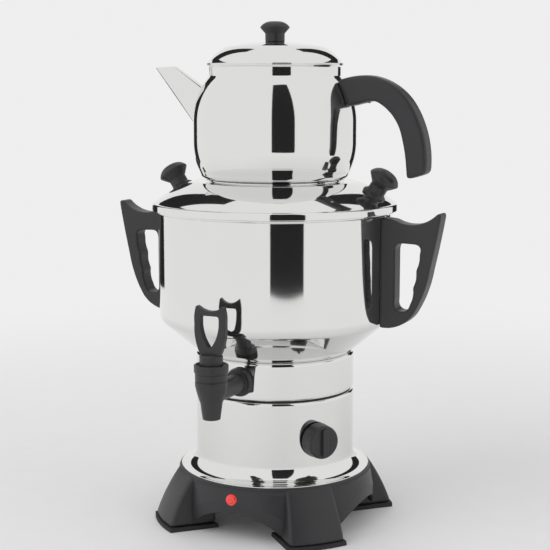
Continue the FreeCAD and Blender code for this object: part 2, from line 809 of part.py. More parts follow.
BACKWARD = (X_AXIS, "-90")
barrel = turned("barrel", [
    ("0", "tap_level - tap_outlet_down"),
    ("outlet_r", "tap_level - tap_outlet_down"),
    ("tap_low_r", "tap_level - tap_waist_down"),
    ("tap_r", "tap_top - 11", "0.42 * tap_low_r + 0.58 * tap_r", "tap_level + 1"),
    ("tap_r", "tap_top - 7.4"),
    ("tap_r - 0.6", "tap_top - 7"),
    ("tap_r - 0.6", "tap_top - 6.4"),
    ("tap_r", "tap_top - 6"),
    ("tap_r", "tap_top"),
    ("0", "tap_top"),
])
place(barrel, ("0", "-tap_out", "0"))
flange_back = "-(skirt_r + gasket_thick)"
flange_front = f"({flange_back} - tap_flange_thick)"
pipe = cylinder("pipe", "pipe_r", f"tap_out + {flange_front}", ("0", "-tap_out", "tap_level"), BACKWARD)
tap_flange = cone(
    "tap_flange", "tap_flange_r - 1.4", "tap_flange_r",
    "tap_flange_thick", ("0", flange_front, "tap_level"), BACKWARD
)
shank = cylinder("shank", "shank_r", "shank_long + gasket_thick", ("0", flange_back, "tap_level"), BACKWARD)
plug_low = "(tap_level - pipe_bore_r - 1)"
shoulder_low = "(tap_top - washer_thick - shoulder_tall)"
plug_seat = cone(
    "plug_seat", "plug_low_r + turn_gap", "plug_top_r + turn_gap", f"{shoulder_low} - {plug_low}",
    ("0", "-tap_out", plug_low)
)
shoulder_seat = cylinder(
    "shoulder_seat", "shoulder_r + turn_gap", "20", ("0", "-tap_out", f"{shoulder_low} - turn_gap")
)
outlet_bore = cylinder(
    "outlet_bore", "outlet_bore_r", "40", ("0", "-tap_out", "tap_level - tap_outlet_down - 10")
)
pipe_bore = cylinder("pipe_bore", "pipe_bore_r", "tap_out", ("0", "-tap_out", "tap_level"), BACKWARD)
tap_blank = fuse("tap_blank", barrel, pipe, tap_flange, shank)
keep(cut("tap_body", tap_blank, plug_seat, shoulder_seat, outlet_bore, pipe_bore))

# Gaskets and lock nut that hold the tap in the neck.

neck_outside = cylinder("neck_outside", "skirt_r + turn_gap", "neck_tall", ("0", "0", "neck_low"))
neck_inside = cylinder("neck_inside", "skirt_r - sheet - turn_gap", "neck_tall", ("0", "0", "neck_low"))
outer_ring = cylinder("outer_ring", "tap_flange_r - 0.6", "15", ("0", flange_back, "tap_level"), BACKWARD)
outer_bore = cylinder("outer_bore", "shank_r + turn_gap", "15", ("0", flange_back, "tap_level"), BACKWARD)
keep(cut("tap_gasket_outer", outer_ring, neck_outside, outer_bore))
nut_front = "-(skirt_r - sheet - gasket_thick - 1)"
inner_ring = cylinder(
    "inner_ring", "tap_flange_r - 2", "gasket_thick + 10",
    ("0", f"{nut_front} - gasket_thick - 10", "tap_level"), BACKWARD
)
inner_bore = cylinder("inner_bore", "shank_r + turn_gap", "40", ("0", "-skirt_r", "tap_level"), BACKWARD)
keep(cut("tap_gasket_inner", common("inner_pad", inner_ring, neck_inside), inner_bore))
keep(hexagon(
    "tap_lock_nut", "lock_nut_half", "lock_nut_thick",
    "shank_r + turn_gap", ("0", nut_front, "tap_level"), BACKWARD
))

# Bonnet ring with a raised rim, and the washer under it, keep the plug in its seat.

bonnet = turned("tap_bonnet", [
    ("key_neck_r + turn_gap", "tap_top"),
    ("bonnet_r - 0.9", "tap_top"),
    ("bonnet_r", "tap_top + 1.4"),
    ("bonnet_r", "bonnet_top - 0.8"),
    ("bonnet_r - 0.7", "bonnet_top"),
    ("bonnet_r - 2", "bonnet_top"),
    ("bonnet_r - 2.8", "bonnet_top - 2"),
    ("key_neck_r + turn_gap", "bonnet_top - 2"),
])
keep(place(bonnet, ("0", "-tap_out", "0")))
washer = turned("tap_washer", [
    ("key_neck_r + turn_gap", "tap_top - washer_thick + turn_gap"),
    ("shoulder_r", "tap_top - washer_thick + turn_gap"),
    ("shoulder_r", "tap_top"),
    ("key_neck_r + turn_gap", "tap_top"),
])
keep(place(washer, ("0", "-tap_out", "0")))

# Tap key: a tapered plug with an elbow port, a round neck and a shield-shaped loop to turn it by.
# The port looks along +X while the tap is shut and towards the pipe after a quarter turn.

plug = turned("plug", [
    ("0", f"{plug_low} + turn_gap"),
    ("plug_low_r", f"{plug_low} + turn_gap"),
    ("plug_top_r", shoulder_low),
    ("shoulder_r", shoulder_low),
    ("shoulder_r", "tap_top - washer_thick"),
    ("key_neck_r", "tap_top - washer_thick"),
    ("key_neck_r", "key_foot - 1.5"),
    ("key_neck_r - 1.5", "key_foot"),
    ("0", "key_foot"),
])
loop = flat("loop", [
    ("-5", "key_foot - 5"),
    ("5", "key_foot - 5"),
    ("0.62 * key_half", "key_foot - 1"),
    ("key_half", "key_foot + 0.62 * key_tall", "0.95 * key_half", "key_foot + 0.3 * key_tall"),
    ("0.87 * key_half", "key_top", "0.985 * key_half", "key_foot + 0.85 * key_tall"),
    ("-0.87 * key_half", "key_top", "0", "key_top - 5"),
    ("-key_half", "key_foot + 0.62 * key_tall", "-0.985 * key_half", "key_foot + 0.85 * key_tall"),
    ("-0.62 * key_half", "key_foot - 1", "-0.95 * key_half", "key_foot + 0.3 * key_tall"),
], "key_thick")
pocket(loop, "loop_hole", [
    ("key_hole_half", "key_top - 9.5", "0.8 * key_hole_half", "key_foot + 0.38 * key_tall"),
    ("-key_hole_half", "key_top - 9.5"),
    ("0", "key_foot + 5", "-0.8 * key_hole_half", "key_foot + 0.38 * key_tall"),
])
port_down = cylinder("port_down", "plug_port_r", f"tap_level - {plug_low} + 5", ("0", "0", f"{plug_low} - 5"))
port_side = cylinder("port_side", "plug_port_r", "2 * plug_top_r", ("0", "0", "tap_level"), (Y_AXIS, "90"))
key = cut("tap_key", fuse("key_blank", plug, loop), port_down, port_side)
keep(place(key, ("0", "-tap_out", "0")))

# Thermostat on the skirt: body and bush inside, nut outside, and a shaft with its knob that turn.
# Each is turned about X and then swung round to the dial's bearing.

dial_back = "(skirt_r + dial_gap)"
dial_face = f"({dial_back} + dial_thick)"
stat_face = "(skirt_r - sheet - stat_inset)"
stat = turned("thermostat_body", [
    (f"{stat_face} - stat_long", "0"),
    (f"{stat_face} - stat_long", "stat_r"),
    (stat_face, "stat_r"),
    (stat_face, "stat_nut_r"),
    ("skirt_r - sheet - 0.5", "stat_nut_r"),
    ("skirt_r - sheet - 0.5", "bush_r"),
    ("skirt_r + bush_out", "bush_r"),
    ("skirt_r + bush_out", "stem_r + turn_gap"),
    (f"{stat_face} - 12", "stem_r + turn_gap"),
    (f"{stat_face} - 12", "0"),
], "H_Axis")
stem = turned("thermostat_shaft", [
    (f"{stat_face} - 12 + turn_gap", "0"),
    (f"{stat_face} - 12 + turn_gap", "stem_r"),
    (f"{dial_face} - 4", "stem_r"),
    (f"{dial_face} - 4", "0"),
], "H_Axis")
knob_disc = turned("knob_disc", [
    (f"{dial_back} + 4", "stem_r"),
    (f"{dial_back} + 4", "stat_nut_r + 3"),
    (dial_back, "stat_nut_r + 3"),
    (dial_back, "dial_r"),
    (f"{dial_face} - 2.5", "dial_r - 0.8"),
    (dial_face, "dial_r - 3.4", f"{dial_face} - 0.7", "dial_r - 1.5"),
    (dial_face, "0"),
    (f"{dial_face} - 4", "0"),
    (f"{dial_face} - 4", "stem_r"),
], "H_Axis")
knob_bar = place(
    bind(doc.addObject("Part::Box", "knob_bar"), Length="4", Width="6", Height="2 * dial_r - 7"),
    (f"{dial_face} - 1", "-3", "3.5 - dial_r"),
)
knob = fuse("thermostat_knob", knob_disc, knob_bar)
for piece in (stat, stem, knob):
    keep(place(piece, ("0", "0", "dial_up"), (Z_AXIS, "dial_angle")))
keep(hexagon(
    "thermostat_nut", "stat_nut_r", "stat_nut_thick", "bush_r + turn_gap",
    ("(skirt_r + turn_gap) * cos(dial_angle)", "(skirt_r + turn_gap) * sin(dial_angle)", "dial_up"),
    ("dial_angle", "90", "0"),
))

# Appliance inlet at the back of the skirt: a saddle flange, a socket, three blades and two screws.

inlet_block = box(
    "inlet_block", "inlet_half", "inlet_out + 12", "inlet_tall",
    ("0", "skirt_r - 12", "inlet_up - inlet_tall / 2")
)
skirt_form = cylinder("skirt_form", "skirt_r + turn_gap", "skirt_tall", ("0", "0", "base_top"))
inlet_flange = cut("inlet_flange", inlet_block, skirt_form)
inlet_body = box(
    "inlet_body", "inlet_body_half", "inlet_out + inlet_body_deep", "inlet_body_tall",
    ("0", "skirt_r - inlet_body_deep", "inlet_up - inlet_body_tall / 2"),
)
inlet_socket = box(
    "inlet_socket", "inlet_socket_half", "inlet_socket_deep + 1", "inlet_socket_tall",
    ("0", "skirt_r + inlet_out - inlet_socket_deep", "inlet_up - inlet_socket_tall / 2"),
)
inlet_pins = []
inlet_slots = []
pin_places = (("-inlet_pin_pitch", "-2"), ("0", "2.5"), ("inlet_pin_pitch", "-2"))
for number, (across, up) in enumerate(pin_places, 1):
    at = (across, "skirt_r - inlet_body_deep - 7", f"inlet_up + {up} - inlet_pin_tall / 2")
    long = "inlet_out + inlet_body_deep + 7 - 5.5"
    inlet_pins.append(box(f"inlet_pin_{number}", "inlet_pin_half", long, "inlet_pin_tall", at))
    inlet_slots.append(box(f"inlet_slot_{number}", "inlet_pin_half", long, "inlet_pin_tall", at))
inlet_screws = []
inlet_screw_holes = []
for number, side in enumerate((-1, 1), 1):
    across = f"{side} * inlet_screw_out"
    shaft = cylinder(
        f"inlet_shaft_{number}", "small_screw_r", "inlet_out + 10",
        (across, "skirt_r - 10", "inlet_up"), BACKWARD,
    )
    head = cylinder(
        f"inlet_head_{number}", "small_head_r", "small_head_tall",
        (across, "skirt_r + inlet_out", "inlet_up"), BACKWARD
    )
    inlet_screws.append(fuse(f"inlet_screw_{number}", shaft, head))
    inlet_screw_holes.append(cylinder(
        f"inlet_clear_{number}", "small_screw_r + turn_gap",
        "inlet_out + 20", (across, "skirt_r - 15", "inlet_up"), BACKWARD
    ))
inlet_blank = fuse("inlet_blank", inlet_flange, inlet_body)
keep(cut("inlet_housing", inlet_blank, inlet_socket, *inlet_slots, *inlet_screw_holes))
keep(group("inlet_pins", inlet_pins))
keep(group("inlet_screws", inlet_screws))

# Heater under the neck cup: a thick disc, a tube that lies in its groove, and a strap that a nut on
# the tie rod presses up. The same rod draws the base, the skirt and the cup together.

rod_low = "(plate_low - nut_tall - 1)"
tube_up = "(heater_low - tube_r + 1.5)"


def heating_ring(label, more):
    """The round part of the heater tube, open towards +X."""
    ring = doc.addObject("Part::Torus", label)
    bind(ring, Radius1="tube_ring_r", Radius2=f"tube_r + {more}", Angle3="2 * tube_half_turn")
    return place(ring, ("0", "0", tube_up), (Z_AXIS, "180 - tube_half_turn"))


heater_disc = cylinder("heater_disc", "heater_r", "heater_thick", ("0", "0", "heater_low"))
heater_hole = cylinder("heater_hole", "rod_r + fit_gap", "heater_thick", ("0", "0", "heater_low"))
tube_parts = [heating_ring("heating_ring", "0")]
tube_rooms = [heating_ring("heater_groove", "turn_gap")]
for number, side in enumerate((-1, 1), 1):
    end_at = (
        "tube_ring_r * cos(180 - tube_half_turn)",
        f"{side} * tube_ring_r * sin(180 - tube_half_turn)", tube_up
    )
    leg_at = (end_at[0], end_at[1], f"{tube_up} - tube_leg")
    elbow = place(bind(doc.addObject("Part::Sphere", f"tube_elbow_{number}"), Radius="tube_r"), end_at)
    room = place(
        bind(doc.addObject("Part::Sphere", f"elbow_room_{number}"), Radius="tube_r + turn_gap"), end_at
    )
    tube_parts += [elbow, cylinder(f"tube_leg_{number}", "tube_r", "tube_leg", leg_at)]
    tube_rooms.append(room)
keep(cut("heater_plate", heater_disc, heater_hole, *tube_rooms))
keep(fuse("heater_tube", *tube_parts))
strap = box(
    "strap", "clamp_wide", "2 * clamp_half", "clamp_thick", ("0", "-clamp_half", "heater_low - clamp_thick")
)
strap_hole = cylinder("strap_hole", "rod_r + fit_gap", "clamp_thick", ("0", "0", "heater_low - clamp_thick"))
keep(cut("heater_clamp", strap, strap_hole))
keep(hexagon(
    "clamp_nut", "nut_half", "nut_tall", "rod_r + turn_gap",
    ("0", "0", "heater_low - clamp_thick - nut_tall"),
))
keep(cylinder("tie_rod", "rod_r", f"neck_low - {rod_low}", ("0", "0", rod_low)))
keep(hexagon("tie_rod_nut", "nut_half", "nut_tall", "rod_r + turn_gap", ("0", "0", "plate_low - nut_tall")))
keep(cylinder("thermal_cutout", "cutout_r", "cutout_tall", ("cutout_out", "0", "heater_low - cutout_tall")))
keep(box(
    "terminal_block", "block_half", "2 * block_wide",
    "block_tall", ("0", "-block_back - block_wide", "plate_top"),
))

# Urn lid: a shallow dome with a rim band, a sunk seat for the teapot and a steam hole with a lip.

dome_over = ("(dome_r + lid_flat_r) / 2", "(dome_low + lid_top) / 2 + lid_swell")
rim_over = ("lid_r - 0.29 * rim_round", "rim_top + 0.71 * rim_round")
rim_over_in = ("lid_r - sheet - 0.29 * (rim_round - sheet)", "rim_top + 0.71 * (rim_round - sheet)")
dome = turned("dome", [
    ("lid_r", "rim_low"),
    ("lid_r", "rim_top"),
    ("dome_r", "dome_low", *rim_over),
    ("lid_flat_r", "lid_top", *dome_over),
    ("seat_r + seat_sink", "lid_top"),
    ("seat_r", "seat_up"),
    ("steam_r + 1.5", "seat_up"),
    ("steam_r", "seat_up - 1.5", "steam_r + 0.44", "seat_up - 0.44"),
    ("steam_r", "seat_up - steam_lip"),
    ("steam_r + sheet", "seat_up - steam_lip"),
    ("steam_r + sheet", "seat_up - 1.5"),
    ("steam_r + sheet + 0.5", "seat_up - sheet"),
    ("seat_r + 0.4", "seat_up - sheet"),
    ("seat_r + seat_sink + 0.4", "lid_top - sheet"),
    ("lid_flat_r", "lid_top - sheet"),
    ("dome_r", "dome_low - sheet", dome_over[0], f"{dome_over[1]} - sheet"),
    ("lid_r - sheet", "rim_top", *rim_over_in),
    ("lid_r - sheet", "rim_low"),
])
knob_up = "(dome_low + (dome_r - knob_out) * (lid_top - dome_low) / (dome_r - lid_flat_r) + 0.92 * lid_swell)"
TILTS = ((1, "right"), (-1, "left"))
lid_holes = [
    cylinder(f"lid_hole_{name}", "small_screw_r + fit_gap", "20",
             (f"{side} * (knob_out - 10 * sin(knob_lean))", "0", f"{knob_up} - 10 * cos(knob_lean)"),
             (Y_AXIS, f"{side} * knob_lean"))
    for side, name in TILTS
]
keep(cut("urn_lid", dome, *lid_holes))

# Collar inside the lid: it rests on the drum's bead and keeps the lid centred.

collar_r = "(drum_r - sheet - lift_gap)"
keep(turned("urn_lid_collar", [
    (f"{collar_r} - sheet", "tank_top + sheet"),
    ("lid_r - sheet", "tank_top + sheet"),
    ("lid_r - sheet", "tank_top"),
    (collar_r, "tank_top"),
    (collar_r, "tank_top - collar_deep"),
    (f"{collar_r} - sheet", "tank_top - collar_deep"),
]))


# Mushroom knobs, each with a screw from below.

def mushroom(label, head, stem, foot, tall, sink, bore_deep):
    """A knob that stands on its own origin, with a foot that reaches below it and a blind bore."""
    return turned(label, [
        ("small_screw_r + turn_gap", f"-({sink})"),
        (foot, f"-({sink})"),
        (foot, "1.5"),
        (stem, "4"),
        (stem, f"0.42 * {tall}"),
        (head, f"0.72 * {tall}", f"0.55 * {stem} + 0.45 * {head}", f"0.55 * {tall}"),
        ("0.5", tall, f"0.74 * {head}", f"0.925 * {tall}"),
        ("0", tall),
        ("0", bore_deep),
        ("small_screw_r + turn_gap", bore_deep),
    ])


def knob_screw(label, low, high):
    """A round-headed screw, its shank from low to high on its own axis, its head below that."""
    return turned(label, [
        ("0", f"{low} - small_head_tall"),
        ("small_head_r", f"{low} - small_head_tall"),
        ("small_head_r", low),
        ("small_screw_r", low),
        ("small_screw_r", high),
        ("0", high),
    ])


knob_screws = []
for side, name in TILTS:
    at = (f"{side} * knob_out", "0", knob_up)
    turn = (Y_AXIS, f"{side} * knob_lean")
    head = place(
        mushroom(f"knob_{name}", "knob_head_r", "knob_stem_r", "knob_foot_r", "knob_tall", "4", "13"),
        at, turn,
    )
    under = turned(f"dome_form_{name}", [
        ("0", "rim_low"),
        ("lid_r", "rim_low"),
        ("lid_r", "rim_top"),
        ("dome_r", "dome_low", *rim_over),
        ("lid_flat_r", "lid_top", *dome_over),
        ("0", "lid_top"),
    ])
    keep(cut(f"urn_lid_knob_{name}", head, under))
    knob_screws.append(place(knob_screw(f"lid_screw_{name}", "-(sheet + 0.1)", "12.5"), at, turn))
keep(group("urn_lid_knob_screws", knob_screws))

# Teapot: a thick base disc, a belly that narrows to a neck with a rolled edge, and strainer holes.

keep(cylinder("teapot_base_disc", "disc_r", "disc_thick", ("0", "0", "seat_up")))
shoulder_over = "(pot_r - shoulder_bend + sqrt(shoulder_bend^2 - ((pot_shoulder - pot_belly_high) / 2)^2))"
shoulder_mid = "pot_floor + (pot_shoulder + pot_belly_high) / 2"
pot_outside = [
    ("pot_foot_r", "pot_floor"),
    ("pot_heel_r", "pot_floor + 6", "pot_heel_r - 2.2", "pot_floor + 1.8"),
    ("pot_r", "pot_floor + pot_belly_low", "pot_heel_r + 5", "pot_floor + 0.53 * pot_belly_low"),
    ("pot_r", "pot_floor + pot_belly_high"),
    ("pot_mouth_r", "pot_floor + pot_shoulder", shoulder_over, shoulder_mid),
]
shell = turned("shell", [
    ("0", "pot_floor"),
    *pot_outside,
    ("pot_mouth_r", "pot_rim - 2.4"),
    ("pot_rim_r", "pot_rim - 0.8"),
    ("pot_rim_r", "pot_rim"),
    ("pot_mouth_r - sheet", "pot_rim"),
    ("pot_mouth_r - sheet", "pot_floor + pot_shoulder"),
    ("pot_r - sheet", "pot_floor + pot_belly_high", f"{shoulder_over} - sheet", shoulder_mid),
    ("pot_r - sheet", "pot_floor + pot_belly_low"),
    ("pot_heel_r - sheet", "pot_floor + 6", "pot_heel_r + 5 - sheet", "pot_floor + 0.53 * pot_belly_low"),
    ("pot_foot_r", "pot_floor + sheet", "pot_heel_r - 2.2 - sheet * 0.7", "pot_floor + 1.8 + sheet * 0.7"),
    ("0", "pot_floor + sheet"),
])
spout_level = "(pot_floor + spout_up)"
strainer = [cylinder("strainer_0", "strainer_r", "20", ("-pot_r - 10", "0", spout_level), (Y_AXIS, "90"))]
for number in range(6):
    at = (
        "-pot_r - 10",
        f"strainer_ring_r * cos({60 * number})",
        f"{spout_level} + strainer_ring_r * sin({60 * number})",
    )
    strainer.append(cylinder(f"strainer_{number + 1}", "strainer_r", "20", at, (Y_AXIS, "90")))
keep(cut("teapot_shell", shell, *strainer))


def pot_form(label):
    """The teapot's outside as a solid, to seat the spout and the handle on."""
    return turned(label, [("0", "pot_floor"), *pot_outside, ("0", "pot_floor + pot_shoulder")])


# Spout: a straight hollow cone that leans out from the belly, cut level at the tip.

spout_at = (
    "-pot_r + spout_inside * cos(spout_lean)", "0", f"{spout_level} - spout_inside * sin(spout_lean)"
)
spout_turn = (Y_AXIS, "spout_lean - 90")
spout_outside = cone("spout_outside", "spout_root_r", "spout_tip_r", "spout_long", spout_at, spout_turn)
spout_inside = cone(
    "spout_inside", "spout_root_r - sheet", "spout_tip_r - sheet", "spout_long", spout_at, spout_turn
)
tip_box = box("tip_box", "40", "80", "60", ("-pot_r - spout_long / 2", "-40", "pot_floor + spout_tip_up"))
keep(cut("teapot_spout", spout_outside, spout_inside, tip_box, pot_form("spout_seat")))


# Teapot handle: an open hook with rounded edges, held by a tab on the shell and a screw from below.

def grab_at(out, up):
    """A point of the hook, from the belly's radius and the pot's floor."""
    return f"pot_r + {out}", f"pot_floor + {up}"


hook = flat("hook", [
    grab_at(-12, 69) + grab_at(6, 73.4),
    grab_at(-12, 93.3),
    grab_at(19.5, 98.5) + grab_at(1, 97.2),
    grab_at(61.5, 72.5) + grab_at(45, 89),
    grab_at(76.3, 9.5) + grab_at(74.3, 42),
    grab_at(56.8, 3.5),
    grab_at(51.7, 42.5) + grab_at(55.4, 24),
    grab_at(24.1, 75.5) + grab_at(42, 62.5),
], "2 * grab_half")


def on_face(half, low):
    """A test for the edges of a plate's two faces, more than some length out from the axis."""
    def test(edge):
        box_of = edge.BoundBox
        flat_edge = box_of.YLength < 0.001 and abs(abs(box_of.YMin) - value(half)) < 0.001
        return flat_edge and box_of.XMax > value(low)
    return test


rounded(hook, "grab_round", on_face("grab_half", "pot_r"))
tab_low = "(pot_floor + grab_root_up + 9)"
tab_blank = place(
    bind(doc.addObject("Part::Box", "tab_blank"),
         Length="tab_long + 8", Width="2 * tab_half", Height="tab_thick"),
    ("pot_r - 8", "-tab_half", tab_low),
)
tab_room = place(
    bind(doc.addObject("Part::Box", "tab_room"),
         Length="tab_long + 8 + fit_gap", Width="2 * (tab_half + fit_gap)", Height="tab_thick + 2 * fit_gap"),
    ("pot_r - 8", "-tab_half - fit_gap", f"{tab_low} - fit_gap"),
)
screw_out = "pot_r + tab_long - 8"
grab_seat = cylinder("grab_seat", "small_head_r + fit_gap", "14", (screw_out, "0", f"{tab_low} - 4 - 14"))
grab_bore = cylinder("grab_bore", "small_screw_r + fit_gap", "14", (screw_out, "0", f"{tab_low} - 5"))
keep(cut("teapot_handle", hook, pot_form("handle_seat"), tab_room, grab_seat, grab_bore))
tab_bore = cylinder("tab_bore", "small_screw_r + turn_gap", "10", (screw_out, "0", f"{tab_low} - 3"))
keep(cut("teapot_handle_bracket", tab_blank, pot_form("tab_seat"), tab_bore))
keep(place(knob_screw("teapot_handle_screw", f"{tab_low} - 4", f"{tab_low} + 8"), (screw_out, "0", "0")))

# Teapot lid: a domed sheet with a flat rim, a locating collar, and a mushroom knob on top.

cap_side = ("0.35 * (cap_r - 1.8) + 0.65 * cap_shoulder_r + 4.5", "pot_rim + 0.58 * cap_shoulder_up")
cap_crown = ("0.62 * cap_shoulder_r", "cap_top - 0.384 * (cap_rise - cap_shoulder_up)")
lid_collar_r = "(pot_mouth_r - sheet - lift_gap)"
keep(turned("teapot_lid", [
    (f"{lid_collar_r} - sheet", "pot_rim"),
    ("cap_r", "pot_rim"),
    ("cap_r", "pot_rim + 1"),
    ("cap_r - 1.8", "pot_rim + 2.4"),
    ("cap_shoulder_r", "pot_rim + cap_shoulder_up", *cap_side),
    ("small_screw_r + fit_gap", "cap_top", *cap_crown),
    ("small_screw_r + fit_gap", "cap_top - sheet"),
    ("cap_shoulder_r - 0.5", "pot_rim + cap_shoulder_up - sheet", cap_crown[0], f"{cap_crown[1]} - sheet"),
    (f"{lid_collar_r} - sheet", "pot_rim + 1.4", f"{cap_side[0]} - 0.9", f"{cap_side[1]} - 0.6"),
]))
keep(turned("teapot_lid_collar", [
    (f"{lid_collar_r} - sheet", "pot_rim - cap_collar_deep"),
    (lid_collar_r, "pot_rim - cap_collar_deep"),
    (lid_collar_r, "pot_rim"),
    (f"{lid_collar_r} - sheet", "pot_rim"),
]))
top_knob = mushroom(
    "teapot_lid_knob", "top_knob_head_r", "top_knob_stem_r", "top_knob_stem_r", "top_knob_tall", "0", "10.5"
)
keep(place(top_knob, ("0", "0", "cap_top")))
keep(place(knob_screw("teapot_lid_screw", "-(sheet + 0.1)", "10"), ("0", "0", "cap_top")))


# Checks, then one STEP file for each piece.

doc.recompute()
faults = [item.Label for item in doc.Objects if set(item.State) & {"Invalid", "Error"}]
for piece in NODES:
    if piece.Shape.isNull() or not piece.Shape.isValid() or not piece.Shape.Solids:
        faults.append(piece.Label)
if faults:
    raise SystemExit("these did not build: " + ", ".join(faults))
os.makedirs("parts", exist_ok=True)
for piece in NODES:
    piece.Shape.exportStep(f"parts/{piece.Label}.step")
    box_of = piece.Shape.BoundBox
    print(f"{piece.Label}: {len(piece.Shape.Solids)} solids, {piece.Shape.Volume / 1000:.2f} cm3,",
          f"z {box_of.ZMin:.1f} to {box_of.ZMax:.1f}")
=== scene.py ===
import math

import bmesh
import bpy
from mathutils import Matrix, Vector
from mathutils.bvhtree import BVHTree


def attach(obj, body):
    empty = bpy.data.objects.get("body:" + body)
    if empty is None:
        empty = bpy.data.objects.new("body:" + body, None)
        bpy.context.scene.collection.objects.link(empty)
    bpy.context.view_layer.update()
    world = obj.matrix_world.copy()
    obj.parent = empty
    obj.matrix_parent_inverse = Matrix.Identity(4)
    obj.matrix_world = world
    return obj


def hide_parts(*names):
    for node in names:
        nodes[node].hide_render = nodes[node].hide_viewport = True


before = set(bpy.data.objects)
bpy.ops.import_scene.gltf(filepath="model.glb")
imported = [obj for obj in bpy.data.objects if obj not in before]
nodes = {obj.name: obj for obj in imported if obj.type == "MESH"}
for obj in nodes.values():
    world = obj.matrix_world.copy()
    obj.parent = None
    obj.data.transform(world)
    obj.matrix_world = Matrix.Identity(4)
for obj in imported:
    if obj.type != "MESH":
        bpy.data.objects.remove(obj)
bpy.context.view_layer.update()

# Base housing. One moulding in black plastic: a ring that carries the skirt, an arch on each side
# and four legs that swell outwards on the diagonals. The mould leaves soft corners and a fine grain.

MM = 0.001
ROUND_STEPS = 256
SMALL_STEPS = 96
SHARP_FROM = math.radians(32)
BASE_R, BASE_TOP, PAD_TOP = 97.5, 52, 4
PAD_LIP = 1
LEG_IN, LEG_OUT, LEG_HALF, LEG_DRAFT = 74, 118, 27.5, 4.5
LEG_SWELL, LEG_SWELL_UP = 106.5, 31
ARCH_R, ARCH_TOP, ARCH_HALF = 65.36, 27, 48


class Value:
    """A value in a material, which Python's operators turn into Math nodes."""

    def __init__(self, finish, socket):
        self.finish = finish
        self.socket = socket

    def math(self, operation, first, second=0.0):
        return self.finish.node("ShaderNodeMath", {"operation": operation}, {0: first, 1: second})

    def __add__(self, other):
        return self.math("ADD", self, other)

    __radd__ = __add__

    def __mul__(self, other):
        return self.math("MULTIPLY", self, other)

    __rmul__ = __mul__

    def __sub__(self, other):
        return self.math("SUBTRACT", self, other)

    def __rsub__(self, other):
        return self.math("SUBTRACT", other, self)


class Finish:
    """A material: a shader with its constant values, and the nodes that vary it over a piece."""

    def __init__(self, name, **constants):
        self.material = bpy.data.materials.new(name)
        self.material.use_nodes = True
        self.tree = self.material.node_tree
        self.shader = self.tree.nodes["Principled BSDF"]
        for words, value in constants.items():
            self.shader.inputs[words.replace("_", " ")].default_value = value
        self.place = self.node("ShaderNodeTexCoord", out="Object")

    def node(self, kind, settings=None, sockets=None, out=0):
        """Any other node: its settings first, then the values or links of its sockets."""
        made = self.tree.nodes.new(kind)
        for name, value in (settings or {}).items():
            setattr(made, name, value)
        for name, value in (sockets or {}).items():
            self.join(value, made.inputs[name])
        return Value(self, made.outputs[out])

    def join(self, value, socket):
        if isinstance(value, Value):
            self.tree.links.new(value.socket, socket)
        else:
            socket.default_value = value

    def feed(self, **sockets):
        for words, value in sockets.items():
            self.join(value, self.shader.inputs[words.replace("_", " ")])

    def noise(self, scale, detail=3.0, rough=0.5, stretch=None):
        """Noise over the piece, its scale in cells per metre, stretched along an axis if asked."""
        at = self.place
        if stretch:
            at = self.node("ShaderNodeMapping", None, {"Vector": at, "Scale": stretch})
        return self.node("ShaderNodeTexNoise", None, {
            "Vector": at, "Scale": scale, "Detail": detail, "Roughness": rough,
        })

    def blend(self, share, dark, light):
        """A colour between two, by a share."""
        return self.node("ShaderNodeMix", {"data_type": "RGBA"}, {0: share, 6: dark, 7: light}, out=2)

    def bump(self, height, strength, distance):
        self.feed(Normal=self.node("ShaderNodeBump", None, {
            "Height": height, "Strength": strength, "Distance": distance,
        }))


JOINED = 0.02
STRAIGHT = math.radians(155)


def draw(part, steps, soften=0.0, closed=True):
    """A line in the XZ plane, in millimetres: each step is a corner (x, z), or a corner and a point
    (x, z, over x, over z) that an arc to it passes. Its corners can be softened."""
    at = steps[0][:2]
    for step in steps[1:] + steps[:closed]:
        start = part.verts.new((at[0], 0, at[1]))
        if len(step) == 4:
            spin_arc(part, start, step[:2], step[2:])
        else:
            part.edges.new((start, part.verts.new((step[0], 0, step[1]))))
        at = step[:2]
    bmesh.ops.remove_doubles(part, verts=part.verts, dist=JOINED)
    hard = []
    for vert in part.verts:
        if len(vert.link_edges) == 2 and any(math.dist(vert.co.xz, step[:2]) < JOINED for step in steps):
            one, two = (edge.other_vert(vert).co - vert.co for edge in vert.link_edges)
            if one.angle(two) < STRAIGHT:
                hard.append(vert)
    if soften:
        bmesh.ops.bevel(
            part, geom=hard, offset=soften, offset_type="OFFSET", segments=4, profile=0.5,
            affect="VERTICES", material=-1, clamp_overlap=True,
        )


def spin_arc(part, start, end, over):
    """Spins a vertex of the XZ plane along the arc that passes one point and ends at another."""
    (ax, az), (bx, bz), (cx, cz) = start.co.xz, over, end
    twice = 2 * (ax * (bz - cz) + bx * (cz - az) + cx * (az - bz))
    a, b, c = ax * ax + az * az, bx * bx + bz * bz, cx * cx + cz * cz
    mid_x = (a * (bz - cz) + b * (cz - az) + c * (az - bz)) / twice
    mid_z = (a * (cx - bx) + b * (ax - cx) + c * (bx - ax)) / twice
    angles = [math.atan2(z - mid_z, x - mid_x) for x, z in ((ax, az), (bx, bz), (cx, cz))]
    sweep = (angles[2] - angles[0]) % (2 * math.pi)
    if (angles[1] - angles[0]) % (2 * math.pi) > sweep:
        sweep -= 2 * math.pi
    long = abs(sweep) * math.hypot(ax - mid_x, az - mid_z)
    steps = max(4, math.ceil(abs(sweep) / math.radians(9)), math.ceil(long / 2.5))
    bmesh.ops.spin(
        part, geom=[start], cent=(mid_x, 0, mid_z), axis=(0, -1, 0), angle=sweep, steps=steps,
        use_merge=False, use_normal_flip=False, use_duplicate=False,
    )


